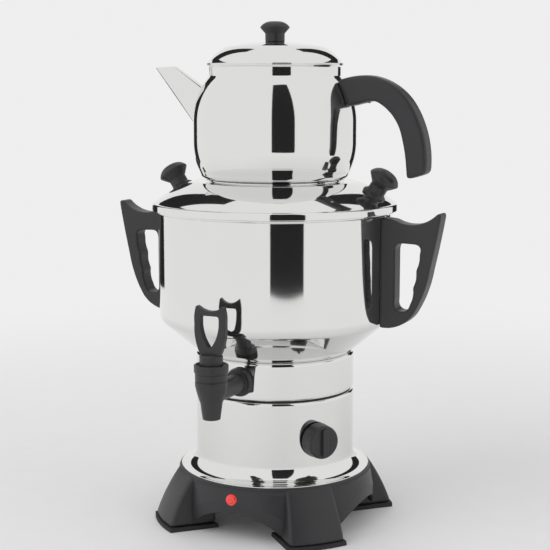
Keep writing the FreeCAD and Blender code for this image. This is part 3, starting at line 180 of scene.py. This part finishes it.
def add(bm, part, about=None):
    """Adds a finished shape to a piece, moved by a matrix if one is given."""
    if about:
        bmesh.ops.transform(part, matrix=about, verts=part.verts)
    carrier = bpy.data.meshes.new("carrier")
    part.to_mesh(carrier)
    part.free()
    bm.from_mesh(carrier)
    bpy.data.meshes.remove(carrier)


LONG_EDGE, HOLD = 4, 0.6


def turned(bm, steps, soften=0.25, about=None, sides=ROUND_STEPS):
    """A body of revolution about Z from its half section, with a holding edge near each corner so
    that the shading stays even."""
    part = bmesh.new()
    on_axis = steps[0][0] == 0 and steps[-1][0] == 0
    draw(part, steps, soften, closed=not on_axis)
    for edge in part.edges[:]:
        long = edge.calc_length()
        if long > LONG_EDGE:
            one, two = edge.verts
            middle = bmesh.utils.edge_split(edge, one, HOLD / long)[1]
            rest = next(item for item in middle.link_edges if two in item.verts)
            bmesh.utils.edge_split(rest, two, HOLD / (long - HOLD))
    bmesh.ops.spin(
        part, geom=part.verts[:] + part.edges[:], cent=(0, 0, 0), axis=(0, 0, 1), angle=2 * math.pi,
        steps=sides, use_merge=True, use_normal_flip=False, use_duplicate=False,
    )
    add(bm, part, about)


def piece(name, bm, finish):
    """Makes a mesh in metres: doubles merged, faces outwards, round faces smooth and corners sharp."""
    bmesh.ops.remove_doubles(bm, verts=bm.verts, dist=0.002)
    bmesh.ops.recalc_face_normals(bm, faces=bm.faces)
    bmesh.ops.scale(bm, vec=(MM, MM, MM), verts=bm.verts)
    for face in bm.faces:
        face.smooth = True
    for edge in bm.edges:
        edge.smooth = edge.calc_face_angle(0.0) < SHARP_FROM
    mesh = bpy.data.meshes.new(name)
    bm.to_mesh(mesh)
    bm.free()
    mesh.materials.append(finish.material)
    made = bpy.data.objects.new(name, mesh)
    bpy.context.scene.collection.objects.link(made)
    return made


def rounded(part, grain, passes):
    """A closed shape remeshed at a grain in millimetres and smoothed, as a mould rounds its edges."""
    blank_mesh = bpy.data.meshes.new("blank")
    part.to_mesh(blank_mesh)
    part.free()
    blank = bpy.data.objects.new("blank", blank_mesh)
    bpy.context.scene.collection.objects.link(blank)
    remesh = blank.modifiers.new("remesh", "REMESH")
    remesh.mode = "VOXEL"
    remesh.voxel_size = grain
    rounding = blank.modifiers.new("rounding", "SMOOTH")
    rounding.factor = 0.5
    rounding.iterations = passes
    shaped = bmesh.new()
    shaped.from_object(blank, bpy.context.evaluated_depsgraph_get())
    bpy.data.objects.remove(blank)
    bpy.data.meshes.remove(blank_mesh)
    return shaped


def legs(bm, low, top, lip, soften, swells):
    """Four legs, one on each diagonal: a section spun through part of a turn, trimmed by two upright
    planes, its corners softened, and copied round. A lip widens all of its outside."""
    part = bmesh.new()
    crest = (BASE_R - 4 + lip, top, LEG_SWELL + lip, LEG_SWELL_UP) if swells else (LEG_OUT + lip, top)
    draw(part, [(LEG_IN, low), (LEG_OUT + lip, low), crest, (LEG_IN, top)])
    face = bmesh.ops.contextual_create(part, geom=part.edges[:])["faces"]
    bmesh.ops.rotate(
        part, cent=(0, 0, 0), matrix=Matrix.Rotation(math.radians(-75), 3, "Z"), verts=part.verts,
    )
    bmesh.ops.spin(
        part, geom=part.verts[:] + part.edges[:] + face, cent=(0, 0, 0), axis=(0, 0, 1),
        angle=math.radians(60), steps=20, use_merge=False, use_normal_flip=False, use_duplicate=False,
    )
    diagonal = Matrix.Rotation(math.radians(-45), 3, "Z")
    for side in (-1, 1):
        trimmed = bmesh.ops.bisect_plane(
            part, geom=part.verts[:] + part.edges[:] + part.faces[:], dist=1e-4,
            plane_co=diagonal @ Vector((0, side * (LEG_HALF + lip), 0)),
            plane_no=diagonal @ Vector((0, side, LEG_DRAFT / BASE_TOP)), clear_outer=True,
        )
        rim = [item for item in trimmed["geom_cut"] if isinstance(item, bmesh.types.BMEdge)]
        bmesh.ops.contextual_create(part, geom=rim)
    bmesh.ops.remove_doubles(part, verts=part.verts, dist=0.01)
    bmesh.ops.recalc_face_normals(part, faces=part.faces)
    hard = [edge for edge in part.edges if edge.calc_face_angle(0.0) > math.radians(40)]
    hard = [edge for edge in hard if min(vert.co.xy.length for vert in edge.verts) > LEG_IN + 6]
    bmesh.ops.bevel(
        part, geom=hard, offset=soften, offset_type="OFFSET", segments=5, profile=0.5,
        affect="EDGES", material=-1, clamp_overlap=True,
    )
    if swells:
        part = rounded(part, 1.1, 50)
    for quarter in (1, 2):
        copied = bmesh.ops.duplicate(part, geom=part.verts[:] + part.edges[:] + part.faces[:])["geom"]
        bmesh.ops.rotate(
            part, cent=(0, 0, 0), matrix=Matrix.Rotation(quarter * math.pi / 2, 3, "Z"),
            verts=[item for item in copied if isinstance(item, bmesh.types.BMVert)],
        )
    add(bm, part)


black_plastic = Finish("black_moulded_plastic", Metallic=0.0, IOR=1.49, Coat_Roughness=0.3)
cloud = black_plastic.noise(28.0, 4.0)
grain = black_plastic.noise(2600.0, 2.0)
black_plastic.feed(
    Base_Color=black_plastic.blend(cloud, (0.019, 0.019, 0.021, 1), (0.031, 0.031, 0.034, 1)),
    Roughness=0.3 + cloud * 0.13 + grain * 0.06,
)
black_plastic.bump(grain, 0.10, 0.0004)

bm = bmesh.new()
wall_steps = [(70, 49), (BASE_R - 3, 49), (BASE_R - 3, PAD_TOP), (BASE_R, PAD_TOP)]
wall_steps += [(BASE_R - 4 * max(up - 22, 0) / 30, up) for up in range(10, 47, 6)]
wall_steps += [(BASE_R - 4, BASE_TOP), (70, BASE_TOP)]
turned(bm, wall_steps, 0.7)
for vert in bm.verts:
    if vert.co.z < 48.5:
        angle = math.atan2(vert.co.y, vert.co.x) % (math.pi / 2)
        across = vert.co.xy.length * math.sin(min(angle, math.pi / 2 - angle))
        low = ARCH_TOP - ARCH_R + math.sqrt(ARCH_R ** 2 - min(across, ARCH_HALF) ** 2)
        low = max(low, PAD_TOP)
        vert.co.z = low + (vert.co.z - PAD_TOP) * (BASE_TOP - low) / (BASE_TOP - PAD_TOP)
legs(bm, PAD_TOP, BASE_TOP, 0, 4.5, swells=True)
base = piece("base", bm, black_plastic)
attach(base, "urn")
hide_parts("base_housing")

# Foot pads. A soft black rubber plate pressed on under each leg, with a thin lip that stands out
# round it. Dust from the table dulls it.

rubber = Finish("soft_rubber", Metallic=0.0, IOR=1.45)
dust = rubber.noise(60.0, 4.0)
rubber.feed(
    Base_Color=rubber.blend(dust, (0.016, 0.016, 0.017, 1), (0.034, 0.033, 0.032, 1)),
    Roughness=0.62 + dust * 0.25,
)
rubber.bump(rubber.noise(1800.0, 2.0), 0.2, 0.0003)

bm = bmesh.new()
legs(bm, 0, PAD_TOP, PAD_LIP, 1.2, swells=False)
feet = piece("feet", bm, rubber)
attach(feet, "urn")
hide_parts("foot_pads")

# Bottom plate and its screws. Plain zinced steel sheet that closes the base, seen only from below.
# The tie rod that holds the tank down ends in a nut under it.

def metal(name, dark, light, smooth, streak):
    """A plain metal: a colour, a mean roughness, and fine streaks along one axis."""
    made = Finish(name, Metallic=1.0)
    lines = made.noise(90.0, 4.0, 0.6, streak)
    made.feed(
        Base_Color=made.blend(lines, (*dark, 1), (*light, 1)),
        Roughness=smooth + lines * 0.14,
    )
    made.bump(lines, 0.08, 0.0003)
    return made


def dress(finish, *names):
    """Gives frame nodes that stay in view their material."""
    for name in names:
        mesh = nodes[name].data
        mesh.materials.clear()
        mesh.materials.append(finish.material)


plain_steel = metal("zinced_steel", (0.42, 0.42, 0.43), (0.62, 0.62, 0.61), 0.26, (1, 12, 1))
dress(plain_steel, "bottom_plate", "bottom_plate_screws", "tie_rod", "tie_rod_nut")

# Pilot lamp. A clear red plastic lens with fine rings, pressed into the front of the base. It glows
# faintly, and its body of matt dark plastic stands behind it.

lens_plastic = Finish(
    "red_lens_plastic", Metallic=0.0, IOR=1.5, Coat_Weight=1.0, Coat_Roughness=0.04,
    Emission_Strength=0.35,
)
ribs = lens_plastic.node("ShaderNodeTexWave", {"wave_type": "RINGS", "rings_direction": "Y"}, {
    "Vector": lens_plastic.node("ShaderNodeMapping", None, {
        "Vector": lens_plastic.place, "Location": (0, 0, -0.039),
    }),
    "Scale": 130.0, "Distortion": 0.0,
}, out=1)
lens_plastic.feed(
    Base_Color=lens_plastic.blend(ribs, (0.50, 0.012, 0.010, 1), (0.72, 0.030, 0.020, 1)),
    Emission_Color=lens_plastic.blend(ribs, (0.55, 0.010, 0.005, 1), (0.95, 0.060, 0.030, 1)),
    Roughness=0.12 + ribs * 0.1,
)
dark_plastic = Finish("matt_dark_plastic", Metallic=0.0, IOR=1.46)
speck = dark_plastic.noise(400.0, 3.0)
dark_plastic.feed(
    Base_Color=dark_plastic.blend(speck, (0.05, 0.05, 0.052, 1), (0.08, 0.08, 0.08, 1)),
    Roughness=0.5 + speck * 0.15,
)
LAMP_UP = 39
FORWARD = Matrix.Translation((0, 0, LAMP_UP)) @ Matrix.Rotation(math.pi / 2, 4, "X")
bm = bmesh.new()
turned(bm, [(0, 92.5), (5.8, 92.5), (5.8, 96.5), (0, 98.4, 4.0, 97.8)], 0.5, FORWARD, 64)
lens = piece("pilot_lens", bm, lens_plastic)
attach(lens, "urn")
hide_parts("pilot_lamp_lens")
dress(dark_plastic, "pilot_lamp_body")

# Skirt. Thin stainless sheet, spun to a cylinder that flares out on the base and turns in above,
# then polished to a mirror. The polishing leaves very faint streaks and clouds.

def polished(name, streak):
    """Mirror-polished stainless steel, its faint streaks along or round the piece."""
    made = Finish(name, Metallic=1.0, Specular_IOR_Level=0.5)
    haze = made.noise(9.0, 3.0)
    lines = made.noise(70.0, 3.0, 0.6, streak)
    made.feed(
        Base_Color=made.blend(haze, (0.80, 0.80, 0.79, 1), (0.86, 0.86, 0.85, 1)),
        Roughness=0.025 + haze * 0.03 + lines * 0.025,
    )
    made.bump(haze, 0.03, 0.0005)
    return made


polished_steel = polished("mirror_steel", (0.4, 0.4, 14))
bm = bmesh.new()
turned(bm, [
    (92.2, 53), (91, 53), (77, 67, 81.10, 57.10), (77, 126), (74.5, 128.5, 76.27, 127.77),
    (68, 128.5), (68, 127.5), (74.5, 127.5), (76, 126, 75.56, 127.06), (76, 67),
    (91, 52, 80.39, 56.39), (92.2, 52),
], 0.25)
skirt = piece("skirt", bm, polished_steel)
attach(skirt, "urn")
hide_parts("skirt_shell")

# Thermostat. Its body and nut are metal, clamped through the skirt, and its shaft carries a round
# black knob with a bar to grip.

dress(plain_steel, "thermostat_body", "thermostat_shaft")
brass = metal("plain_brass", (0.55, 0.40, 0.17), (0.72, 0.55, 0.26), 0.22, (1, 1, 8))
dress(brass, "thermostat_nut", "inlet_pins")


def moulded(bm, steps, hole, half, corners, grain, passes, about=None):
    """A plate of a given outline in the XZ plane: filled, extruded to its thickness and rounded."""
    part = bmesh.new()
    draw(part, steps, corners)
    if hole:
        inner = bmesh.new()
        draw(inner, hole, min(corners, 1.5))
        add(part, inner)
    bmesh.ops.triangle_fill(part, edges=part.edges[:], use_beauty=True, normal=(0, 1, 0))
    bmesh.ops.translate(part, vec=(0, -half, 0), verts=part.verts)
    grown = bmesh.ops.extrude_face_region(part, geom=part.faces[:], use_keep_orig=True)["geom"]
    raised = [item for item in grown if isinstance(item, bmesh.types.BMVert)]
    bmesh.ops.translate(part, vec=(0, 2 * half, 0), verts=raised)
    bmesh.ops.recalc_face_normals(part, faces=part.faces)
    add(bm, rounded(part, grain, passes), about)


DIAL_AT, DIAL_UP, DIAL_FACE = math.radians(-35), 92, 93.2
OUTWARD = Matrix((
    (-math.sin(DIAL_AT), 0, math.cos(DIAL_AT), 0),
    (math.cos(DIAL_AT), 0, math.sin(DIAL_AT), 0),
    (0, 1, 0, DIAL_UP),
    (0, 0, 0, 1),
))
BAR_PLACE = OUTWARD @ Matrix.Translation((0, 0, DIAL_FACE)) @ Matrix.Rotation(math.pi / 2, 4, "X")
bm = bmesh.new()
turned(bm, [
    (0, 82.8), (11, 82.8), (11, 78.8), (16.5, 78.8), (15.7, 89.6), (13.1, 92.0, 15.05, 91.35),
    (0, 92.0),
], 0.4, OUTWARD, SMALL_STEPS)
moulded(bm, [
    (-2.9, -12), (2.9, -12, 0, -13.2), (2.9, 12), (-2.9, 12, 0, 13.2),
], None, 2.0, 0.8, 0.3, 10, BAR_PLACE)
knob = piece("dial_knob", bm, black_plastic)
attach(knob, "thermostat_dial")
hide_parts("thermostat_knob")

# Appliance inlet. A black moulding let into the back of the skirt, with three brass blades in its
# socket, held by two steel screws.

dress(black_plastic, "inlet_housing")
dress(plain_steel, "inlet_screws")

# Seam ring. A dark rubber seal, pressed flat between the skirt's top and the neck's foot, that
# shows as a thin line.

bm = bmesh.new()
turned(bm, [(68, 128.5), (74.4, 128.5), (74.4, 130), (68, 130)], 0.2)
seal = piece("seam_ring", bm, rubber)
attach(seal, "urn")
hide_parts("neck_seal")

# Neck. The lowest part of the tank: a drawn and polished steel cup with a rounded foot and
# shoulder. The heater lies under its floor, and the tap goes through its wall.

bm = bmesh.new()
turned(bm, [
    (0, 130), (74, 130), (77, 133, 76.12, 130.88), (77, 163), (74, 166, 76.12, 165.12), (72, 166),
    (72, 165), (74, 165), (76, 163, 75.41, 164.41), (76, 133), (74, 131, 75.41, 131.59), (0, 131),
], 0.2)
neck = piece("neck", bm, polished_steel)
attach(neck, "urn")
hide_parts("neck_cup")

# Heater and what holds it, all inside the skirt: a cast aluminium disc with a steel heating tube,
# a strap with its nut, a thermal cut-out and a pale terminal block.

aluminium = metal("cast_aluminium", (0.55, 0.55, 0.55), (0.70, 0.70, 0.70), 0.35, (3, 3, 3))
dress(aluminium, "heater_plate")
dress(plain_steel, "heater_tube", "heater_clamp", "clamp_nut", "thermal_cutout")
pale_plastic = Finish("pale_block_plastic", Metallic=0.0, IOR=1.46)
pale_plastic.feed(
    Base_Color=pale_plastic.blend(pale_plastic.noise(150.0), (0.62, 0.60, 0.54, 1), (0.74, 0.72, 0.66, 1)),
    Roughness=0.45 + pale_plastic.noise(300.0) * 0.1,
)
dress(pale_plastic, "terminal_block")

# Tap. A black moulded barrel with an outlet below and a pipe that a nut draws against the neck,
# gaskets on both sides, and a screwed bonnet ring on top.

TAP_OUT, TAP_UP = 134, 148
TAP_PLACE = Matrix.Translation((0, -TAP_OUT, 0))
BACKWARD = Matrix.Translation((0, -TAP_OUT, TAP_UP)) @ Matrix.Rotation(-math.pi / 2, 4, "X")
bm = bmesh.new()
turned(bm, [
    (0, 146), (5.5, 146), (5.5, 126), (8, 126), (10, 141), (14.6, 157, 12.67, 149), (14.6, 160.6),
    (13.9, 161), (13.9, 161.7), (14.6, 162.1), (14.6, 168), (0, 168),
], 0.3, TAP_PLACE, SMALL_STEPS)
turned(bm, [
    (0, 4), (9.2, 4), (9.2, 49.6), (10.6, 51, 9.6, 50.6), (12.4, 51), (13.8, 55), (7.5, 55),
    (7.5, 69), (0, 69),
], 0.3, BACKWARD, SMALL_STEPS)
tap = piece("tap", bm, black_plastic)
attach(tap, "urn")
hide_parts("tap_body")
bm = bmesh.new()
turned(bm, [
    (10.6, 168), (14.6, 168), (15.5, 169.4), (15.5, 175.2), (14.8, 176), (13.4, 176), (12.7, 174),
    (10.6, 174),
], 0.3, TAP_PLACE, SMALL_STEPS)
bonnet = piece("tap_bonnet_ring", bm, black_plastic)
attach(bonnet, "urn")
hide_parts("tap_bonnet")
dress(rubber, "tap_gasket_outer", "tap_gasket_inner", "tap_washer")
dress(dark_plastic, "tap_lock_nut")

# Tap key. One black moulding: a round neck that comes out of the bonnet, and a flat loop with two
# horns to turn it by.

bm = bmesh.new()
turned(bm, [(0, 164), (10.5, 164), (10.5, 183.5), (8.6, 185), (0, 185)], 0.6, TAP_PLACE, SMALL_STEPS)
LOOP = [
    (-5, 180), (5, 180), (9.42, 184), (15.2, 212.28, 14.44, 198.2), (13.22, 229, 14.97, 222.4),
    (-13.22, 229, 0, 224), (-15.2, 212.28, -14.97, 222.4), (-9.42, 184, -14.44, 198.2),
]
LOOP_GAP = [(8.6, 219.5, 6.88, 201.72), (-8.6, 219.5), (0, 190, -6.88, 201.72)]
moulded(bm, LOOP, LOOP_GAP, 3.25, 1.5, 0.38, 22, TAP_PLACE)
key = piece("tap_key_loop", bm, black_plastic)
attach(key, "tap_key")
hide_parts("tap_key")

# Tank. Cone and drum in one polished steel sheet, rounded where they meet, with a bead rolled
# outwards round the mouth.

bm = bmesh.new()
turned(bm, [
    (74, 166), (107.73, 194.41), (112, 203.58, 110.88, 198.52), (112, 300.5), (113.65, 300.5),
    (113.65, 304, 115.4, 302.25), (111, 304), (111, 203.58), (107.09, 195.17, 109.97, 198.94), (73, 166),
], 0.3)
tank = piece("tank", bm, polished_steel)
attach(tank, "urn")
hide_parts("urn_tank")

# Urn handles. A black moulded grip on each side, with a horned tip and room for the fingers, that
# two screws hold to a strip welded to the drum.

GRIP_HALF = 9.0
GRIP = [
    (111.3, 299.6), (123.99, 298.36), (166.93, 306.02, 145.93, 294.63), (170.3, 304.78),
    (159.91, 252.98, 165.94, 280.95), (143.94, 209.99, 153.42, 229.05), (114.98, 196.0, 132.94, 200.35),
    (111.3, 196),
]
FINGERS = [
    (125.98, 269.97), (132.94, 276.5, 127.97, 275.15), (145.93, 275.98), (149.56, 268.0, 149.73, 273.8),
    (146.34, 252.05, 149.26, 260.02), (143.65, 235.99, 146.46, 243.97), (140.84, 220.04, 143.77, 228.01),
    (131.95, 212.99, 137.97, 214.65), (125.98, 222.0, 127.39, 214.96),
]
for side, name in ((1, "right"), (-1, "left")):
    bm = bmesh.new()
    moulded(bm, GRIP, FINGERS, GRIP_HALF, 2.0, 0.75, 36)
    bmesh.ops.scale(bm, vec=(side, 1, 1), verts=bm.verts)
    grip = piece(f"grip_{name}", bm, black_plastic)
    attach(grip, "urn")
    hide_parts(f"handle_{name}")
dress(plain_steel, "handle_brackets", "handle_screws")

# Urn lid. A polished sheet spun to a shallow dome, with a rim band, a sunk seat for the teapot and
# a steam hole. A collar inside it rests on the drum's bead.

bm = bmesh.new()
turned(bm, [
    (118, 303), (118, 307.5), (115.6, 309.9, 117.304, 309.204), (78, 330, 96.8, 322.55), (67.5, 330),
    (66, 328.5), (56.5, 328.5), (55, 327, 55.44, 328.06), (55, 324), (56, 324), (56, 327),
    (56.7, 327.5), (66.4, 327.5), (67.9, 329), (78, 329), (115.6, 308.9, 96.8, 321.55),
    (117, 307.5, 116.594, 308.494), (117, 303),
], 0.25)
urn_lid = piece("lid", bm, polished_steel)
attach(urn_lid, "urn_lid")
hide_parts("urn_lid")
bm = bmesh.new()
turned(bm, [(109.3, 305), (116.9, 305), (116.9, 304), (110.3, 304), (110.3, 292), (109.3, 292)], 0.25)
collar = piece("lid_collar", bm, polished_steel)
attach(collar, "urn_lid")
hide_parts("urn_lid_collar")

# Mushroom knobs on the urn lid. Two black mouldings that lean out on the dome, each held by a
# screw from inside.

KNOB_LEAN, KNOB_OUT, KNOB_UP = math.radians(34), 101.5, 319.83
MUSHROOM = [
    (0, -0.9), (11.5, -0.9), (11.5, 1.5), (8.5, 4), (8.5, 10.5), (15, 18, 11.4, 13.75),
    (0, 25, 11.1, 23.1),
]
for side, name in ((1, "right"), (-1, "left")):
    bm = bmesh.new()
    lean = Matrix.Rotation(side * KNOB_LEAN, 4, "Y")
    turned(bm, MUSHROOM, 0.7, Matrix.Translation((side * KNOB_OUT, 0, KNOB_UP)) @ lean, SMALL_STEPS)
    mushroom = piece(f"lid_knob_{name}", bm, black_plastic)
    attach(mushroom, "urn_lid")
    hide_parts(f"urn_lid_knob_{name}")
dress(plain_steel, "urn_lid_knob_screws")

# Teapot. A polished steel belly, drawn in above to a neck with a rolled edge, on a thick base disc
# that spreads the heat.

bm = bmesh.new()
turned(bm, [(0, 328.55), (63, 328.55), (63, 331.5), (0, 331.5)], 0.6)
disc = piece("pot_base_disc", bm, polished_steel)
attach(disc, "teapot")
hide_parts("teapot_base_disc")
POT = [
    (0, 331.5), (64, 331.5), (71.5, 337.5, 69.3, 333.3), (78.5, 368, 76.5, 350.85), (78.5, 386),
    (63.2, 429.5, 75.01, 407.75), (63.2, 437.6), (65, 439.2), (65, 440), (62.2, 440), (62.2, 429.5),
    (77.5, 386, 74.01, 407.75), (77.5, 368), (70.5, 337.5, 75.5, 350.85), (64, 332.5, 68.6, 334), (0, 332.5),
]
bm = bmesh.new()
turned(bm, POT, 0.25)
pot_surface = BVHTree.FromBMesh(bm)
pot = piece("pot", bm, polished_steel)
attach(pot, "teapot")
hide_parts("teapot_shell")

# Spout. A straight cone of polished steel sheet, cut level at its tip and welded to the belly all
# round its root.

LEAN = math.radians(42)
ALONG = Vector((-math.cos(LEAN), 0, math.sin(LEAN)))
ROOT = Vector((-70.33, 0, 393.14))
ROOT_R, TIP_R, SPOUT_LONG, TIP_UP, SPOUT_WALL, WELD = 17.6, 4.4, 82, 438, 0.9, 0.6
bm = bmesh.new()
bmesh.ops.create_cone(
    bm, cap_ends=False, segments=128, radius1=ROOT_R, radius2=TIP_R, depth=SPOUT_LONG,
    matrix=Matrix.Translation(ROOT + ALONG * SPOUT_LONG / 2) @ Matrix.Rotation(LEAN - math.pi / 2, 4, "Y"),
)
bmesh.ops.bisect_plane(
    bm, geom=bm.verts[:] + bm.edges[:] + bm.faces[:], dist=1e-4, plane_co=(0, 0, TIP_UP),
    plane_no=(0, 0, 1), clear_outer=True,
)
for vert in bm.verts:
    if (vert.co - ROOT).dot(ALONG) < 1:
        edge = max(vert.link_edges, key=lambda item: item.calc_length())
        tip = edge.other_vert(vert)
        inward = (vert.co - tip.co).normalized()
        hit = pot_surface.ray_cast(tip.co, inward)[0]
        if hit:
            vert.co = hit + inward * WELD
bmesh.ops.recalc_face_normals(bm, faces=bm.faces)
bmesh.ops.subdivide_edges(
    bm, edges=[edge for edge in bm.edges if edge.calc_length() > 20], cuts=10, use_grid_fill=True,
)
bmesh.ops.solidify(bm, geom=bm.faces[:], thickness=SPOUT_WALL)
spout = piece("spout", bm, polished_steel)
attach(spout, "teapot")
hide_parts("teapot_spout")

# Teapot handle. A thick black hook, open at its lower end and rounded all over, screwed to a steel
# tab on the teapot's shoulder.

HOOK_HALF = 10.0
HOOK = [
    (76.07, 400.5), (65.7, 424.8, 72.09, 413), (98, 430, 79.5, 428.7), (140, 404, 123.5, 420.5),
    (154.8, 341, 152.8, 373.5), (135.3, 335), (130.2, 374, 133.9, 355.5), (102.6, 407, 120.5, 394),
]
bm = bmesh.new()
moulded(bm, HOOK, None, HOOK_HALF, 4.0, 0.95, 90)
hook = piece("pot_handle", bm, black_plastic)
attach(hook, "teapot")
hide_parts("teapot_handle")
dress(plain_steel, "teapot_handle_bracket", "teapot_handle_screw")

# Teapot lid. A polished dome with a flat rim, a collar that drops into the neck, and a black
# mushroom knob that a screw holds from inside.

POT_KNOB_UP = 461.45
bm = bmesh.new()
turned(bm, [
    (0, 461.5), (47, 456.5, 29.14, 459.58), (63.6, 442.4, 57.31, 449.57), (65.4, 441), (65.4, 440),
    (60.5, 440), (60.5, 441.4), (46.5, 455.5, 56.41, 448.97), (0, 460.5, 29.14, 458.58),
], 0.25)
pot_lid = piece("pot_lid", bm, polished_steel)
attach(pot_lid, "teapot_lid")
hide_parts("teapot_lid")
bm = bmesh.new()
turned(bm, [(60.5, 433), (61.5, 433), (61.5, 440), (60.5, 440)], 0.25)
pot_collar = piece("pot_lid_collar", bm, polished_steel)
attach(pot_collar, "teapot_lid")
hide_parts("teapot_lid_collar")
bm = bmesh.new()
turned(
    bm, [(0, 0), (9.2, 0), (9.2, 7.77), (14.2, 13.32, 11.45, 10.18), (0, 18.45, 10.5, 17.1)], 0.7,
    Matrix.Translation((0, 0, POT_KNOB_UP)), SMALL_STEPS,
)
pot_knob = piece("pot_lid_knob", bm, black_plastic)
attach(pot_knob, "teapot_lid")
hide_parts("teapot_lid_knob")
dress(plain_steel, "teapot_lid_screw")

# Studio. A pale floor that fades into a pale surround, dark upright cards that only reflections
# show as the stripes on the steel, soft lamps and the camera.

VIEW_AT = 25
SURROUND = 0.86


def seen_share(tree):
    """1 where a ray is the camera's, a reflection or goes through something clear, else 0."""
    path = tree.nodes.new("ShaderNodeLightPath")
    total = path.outputs["Is Camera Ray"]
    for name in ("Is Glossy Ray", "Is Transmission Ray"):
        add = tree.nodes.new("ShaderNodeMath")
        add.operation = "MAXIMUM"
        tree.links.new(total, add.inputs[0])
        tree.links.new(path.outputs[name], add.inputs[1])
        total = add.outputs[0]
    return total


world = bpy.data.worlds.new("surround")
bpy.context.scene.world = world
world.use_nodes = True
sky = world.node_tree
light = sky.nodes["Background"]
light.inputs["Color"].default_value = (1, 1, 1, 1)
level = sky.nodes.new("ShaderNodeMapRange")
sky.links.new(seen_share(sky), level.inputs["Value"])
level.inputs["To Min"].default_value = 0.7
level.inputs["To Max"].default_value = SURROUND
sky.links.new(level.outputs[0], light.inputs["Strength"])

bm = bmesh.new()
bmesh.ops.create_circle(bm, cap_ends=True, segments=96, radius=40)
mesh = bpy.data.meshes.new("floor")
bm.to_mesh(mesh)
bm.free()
floor = bpy.data.objects.new("floor", mesh)
bpy.context.scene.collection.objects.link(floor)
ground = Finish("pale_floor", Metallic=0.0, Roughness=0.7)
ground.feed(Base_Color=ground.blend(ground.noise(40.0), (0.80, 0.80, 0.80, 1), (0.83, 0.83, 0.83, 1)))
glow = ground.tree.nodes.new("ShaderNodeEmission")
glow.inputs["Color"].default_value = (SURROUND, SURROUND, SURROUND, 1)
away = ground.node("ShaderNodeVectorMath", {"operation": "LENGTH"}, {0: ground.place}, out=1)
fade = ground.node("ShaderNodeMapRange", {"interpolation_type": "SMOOTHSTEP"}, {
    "Value": away, "From Min": 0.25, "From Max": 1.3,
})
mixed = ground.tree.nodes.new("ShaderNodeMixShader")
ground.join(fade * Value(ground, seen_share(ground.tree)), mixed.inputs[0])
ground.tree.links.new(ground.shader.outputs[0], mixed.inputs[1])
ground.tree.links.new(glow.outputs[0], mixed.inputs[2])
ground.tree.links.new(mixed.outputs[0], ground.tree.nodes["Material Output"].inputs["Surface"])
mesh.materials.append(ground.material)

card_black = Finish("card", Metallic=0.0, Roughness=1.0, Base_Color=(0.012, 0.012, 0.013, 1))


def card(name, bearing, half, distance=1.5, low=-0.2, high=3.0):
    """An upright dark card at a bearing, that spans a half angle each way, seen only in reflections."""
    made_mesh = bpy.data.meshes.new(name)
    shape = bmesh.new()
    bmesh.ops.create_grid(shape, x_segments=1, y_segments=1, size=1)
    upright = Matrix.Rotation(math.radians(bearing), 4, "Z") @ Matrix.Translation(
        (0, -distance, (low + high) / 2)) @ Matrix.Rotation(math.pi / 2, 4, "X")
    wide = distance * math.tan(math.radians(half))
    size = Matrix.Diagonal((wide, (high - low) / 2, 1, 1))
    bmesh.ops.transform(shape, matrix=upright @ size, verts=shape.verts)
    shape.to_mesh(made_mesh)
    shape.free()
    made_mesh.materials.append(card_black.material)
    made_card = bpy.data.objects.new(name, made_mesh)
    bpy.context.scene.collection.objects.link(made_card)
    made_card.visible_camera = False
    made_card.visible_diffuse = False
    made_card.visible_shadow = False


card("card_front", VIEW_AT + 11, 15.5)
card("card_left", VIEW_AT - 146, 9)
card("card_right", VIEW_AT + 146, 9)


def lamp(name, bearing, height, distance, size, power):
    """A soft square lamp at a bearing, aimed at the middle of the samovar."""
    light_data = bpy.data.lights.new(name, "AREA")
    light_data.size = size
    light_data.energy = power
    made_lamp = bpy.data.objects.new(name, light_data)
    turn = math.radians(bearing)
    made_lamp.location = (distance * math.sin(turn), -distance * math.cos(turn), height)
    aim = Vector((0, 0, 0.25)) - made_lamp.location
    made_lamp.rotation_euler = aim.to_track_quat("-Z", "Y").to_euler()
    made_lamp.visible_glossy = False
    bpy.context.scene.collection.objects.link(made_lamp)


lamp("lamp_left", VIEW_AT - 55, 1.6, 1.7, 1.6, 14)
lamp("lamp_right", VIEW_AT + 65, 1.3, 2.0, 1.6, 6)
lamp("lamp_back", VIEW_AT + 180, 2.0, 1.8, 1.6, 6)

CAMERA_OUT, CAMERA_UP, LOOK_AT = 1.25, 0.423, Vector((0, 0, 0.238))
camera_data = bpy.data.cameras.new("camera")
camera_data.lens = 85
camera_data.sensor_width = 36
camera = bpy.data.objects.new("camera", camera_data)
bearing = math.radians(VIEW_AT)
camera.location = (CAMERA_OUT * math.sin(bearing), -CAMERA_OUT * math.cos(bearing), CAMERA_UP)
camera.rotation_euler = (LOOK_AT - camera.location).to_track_quat("-Z", "Y").to_euler()
bpy.context.scene.collection.objects.link(camera)
bpy.context.scene.camera = camera
bpy.context.scene.view_settings.view_transform = "Standard"
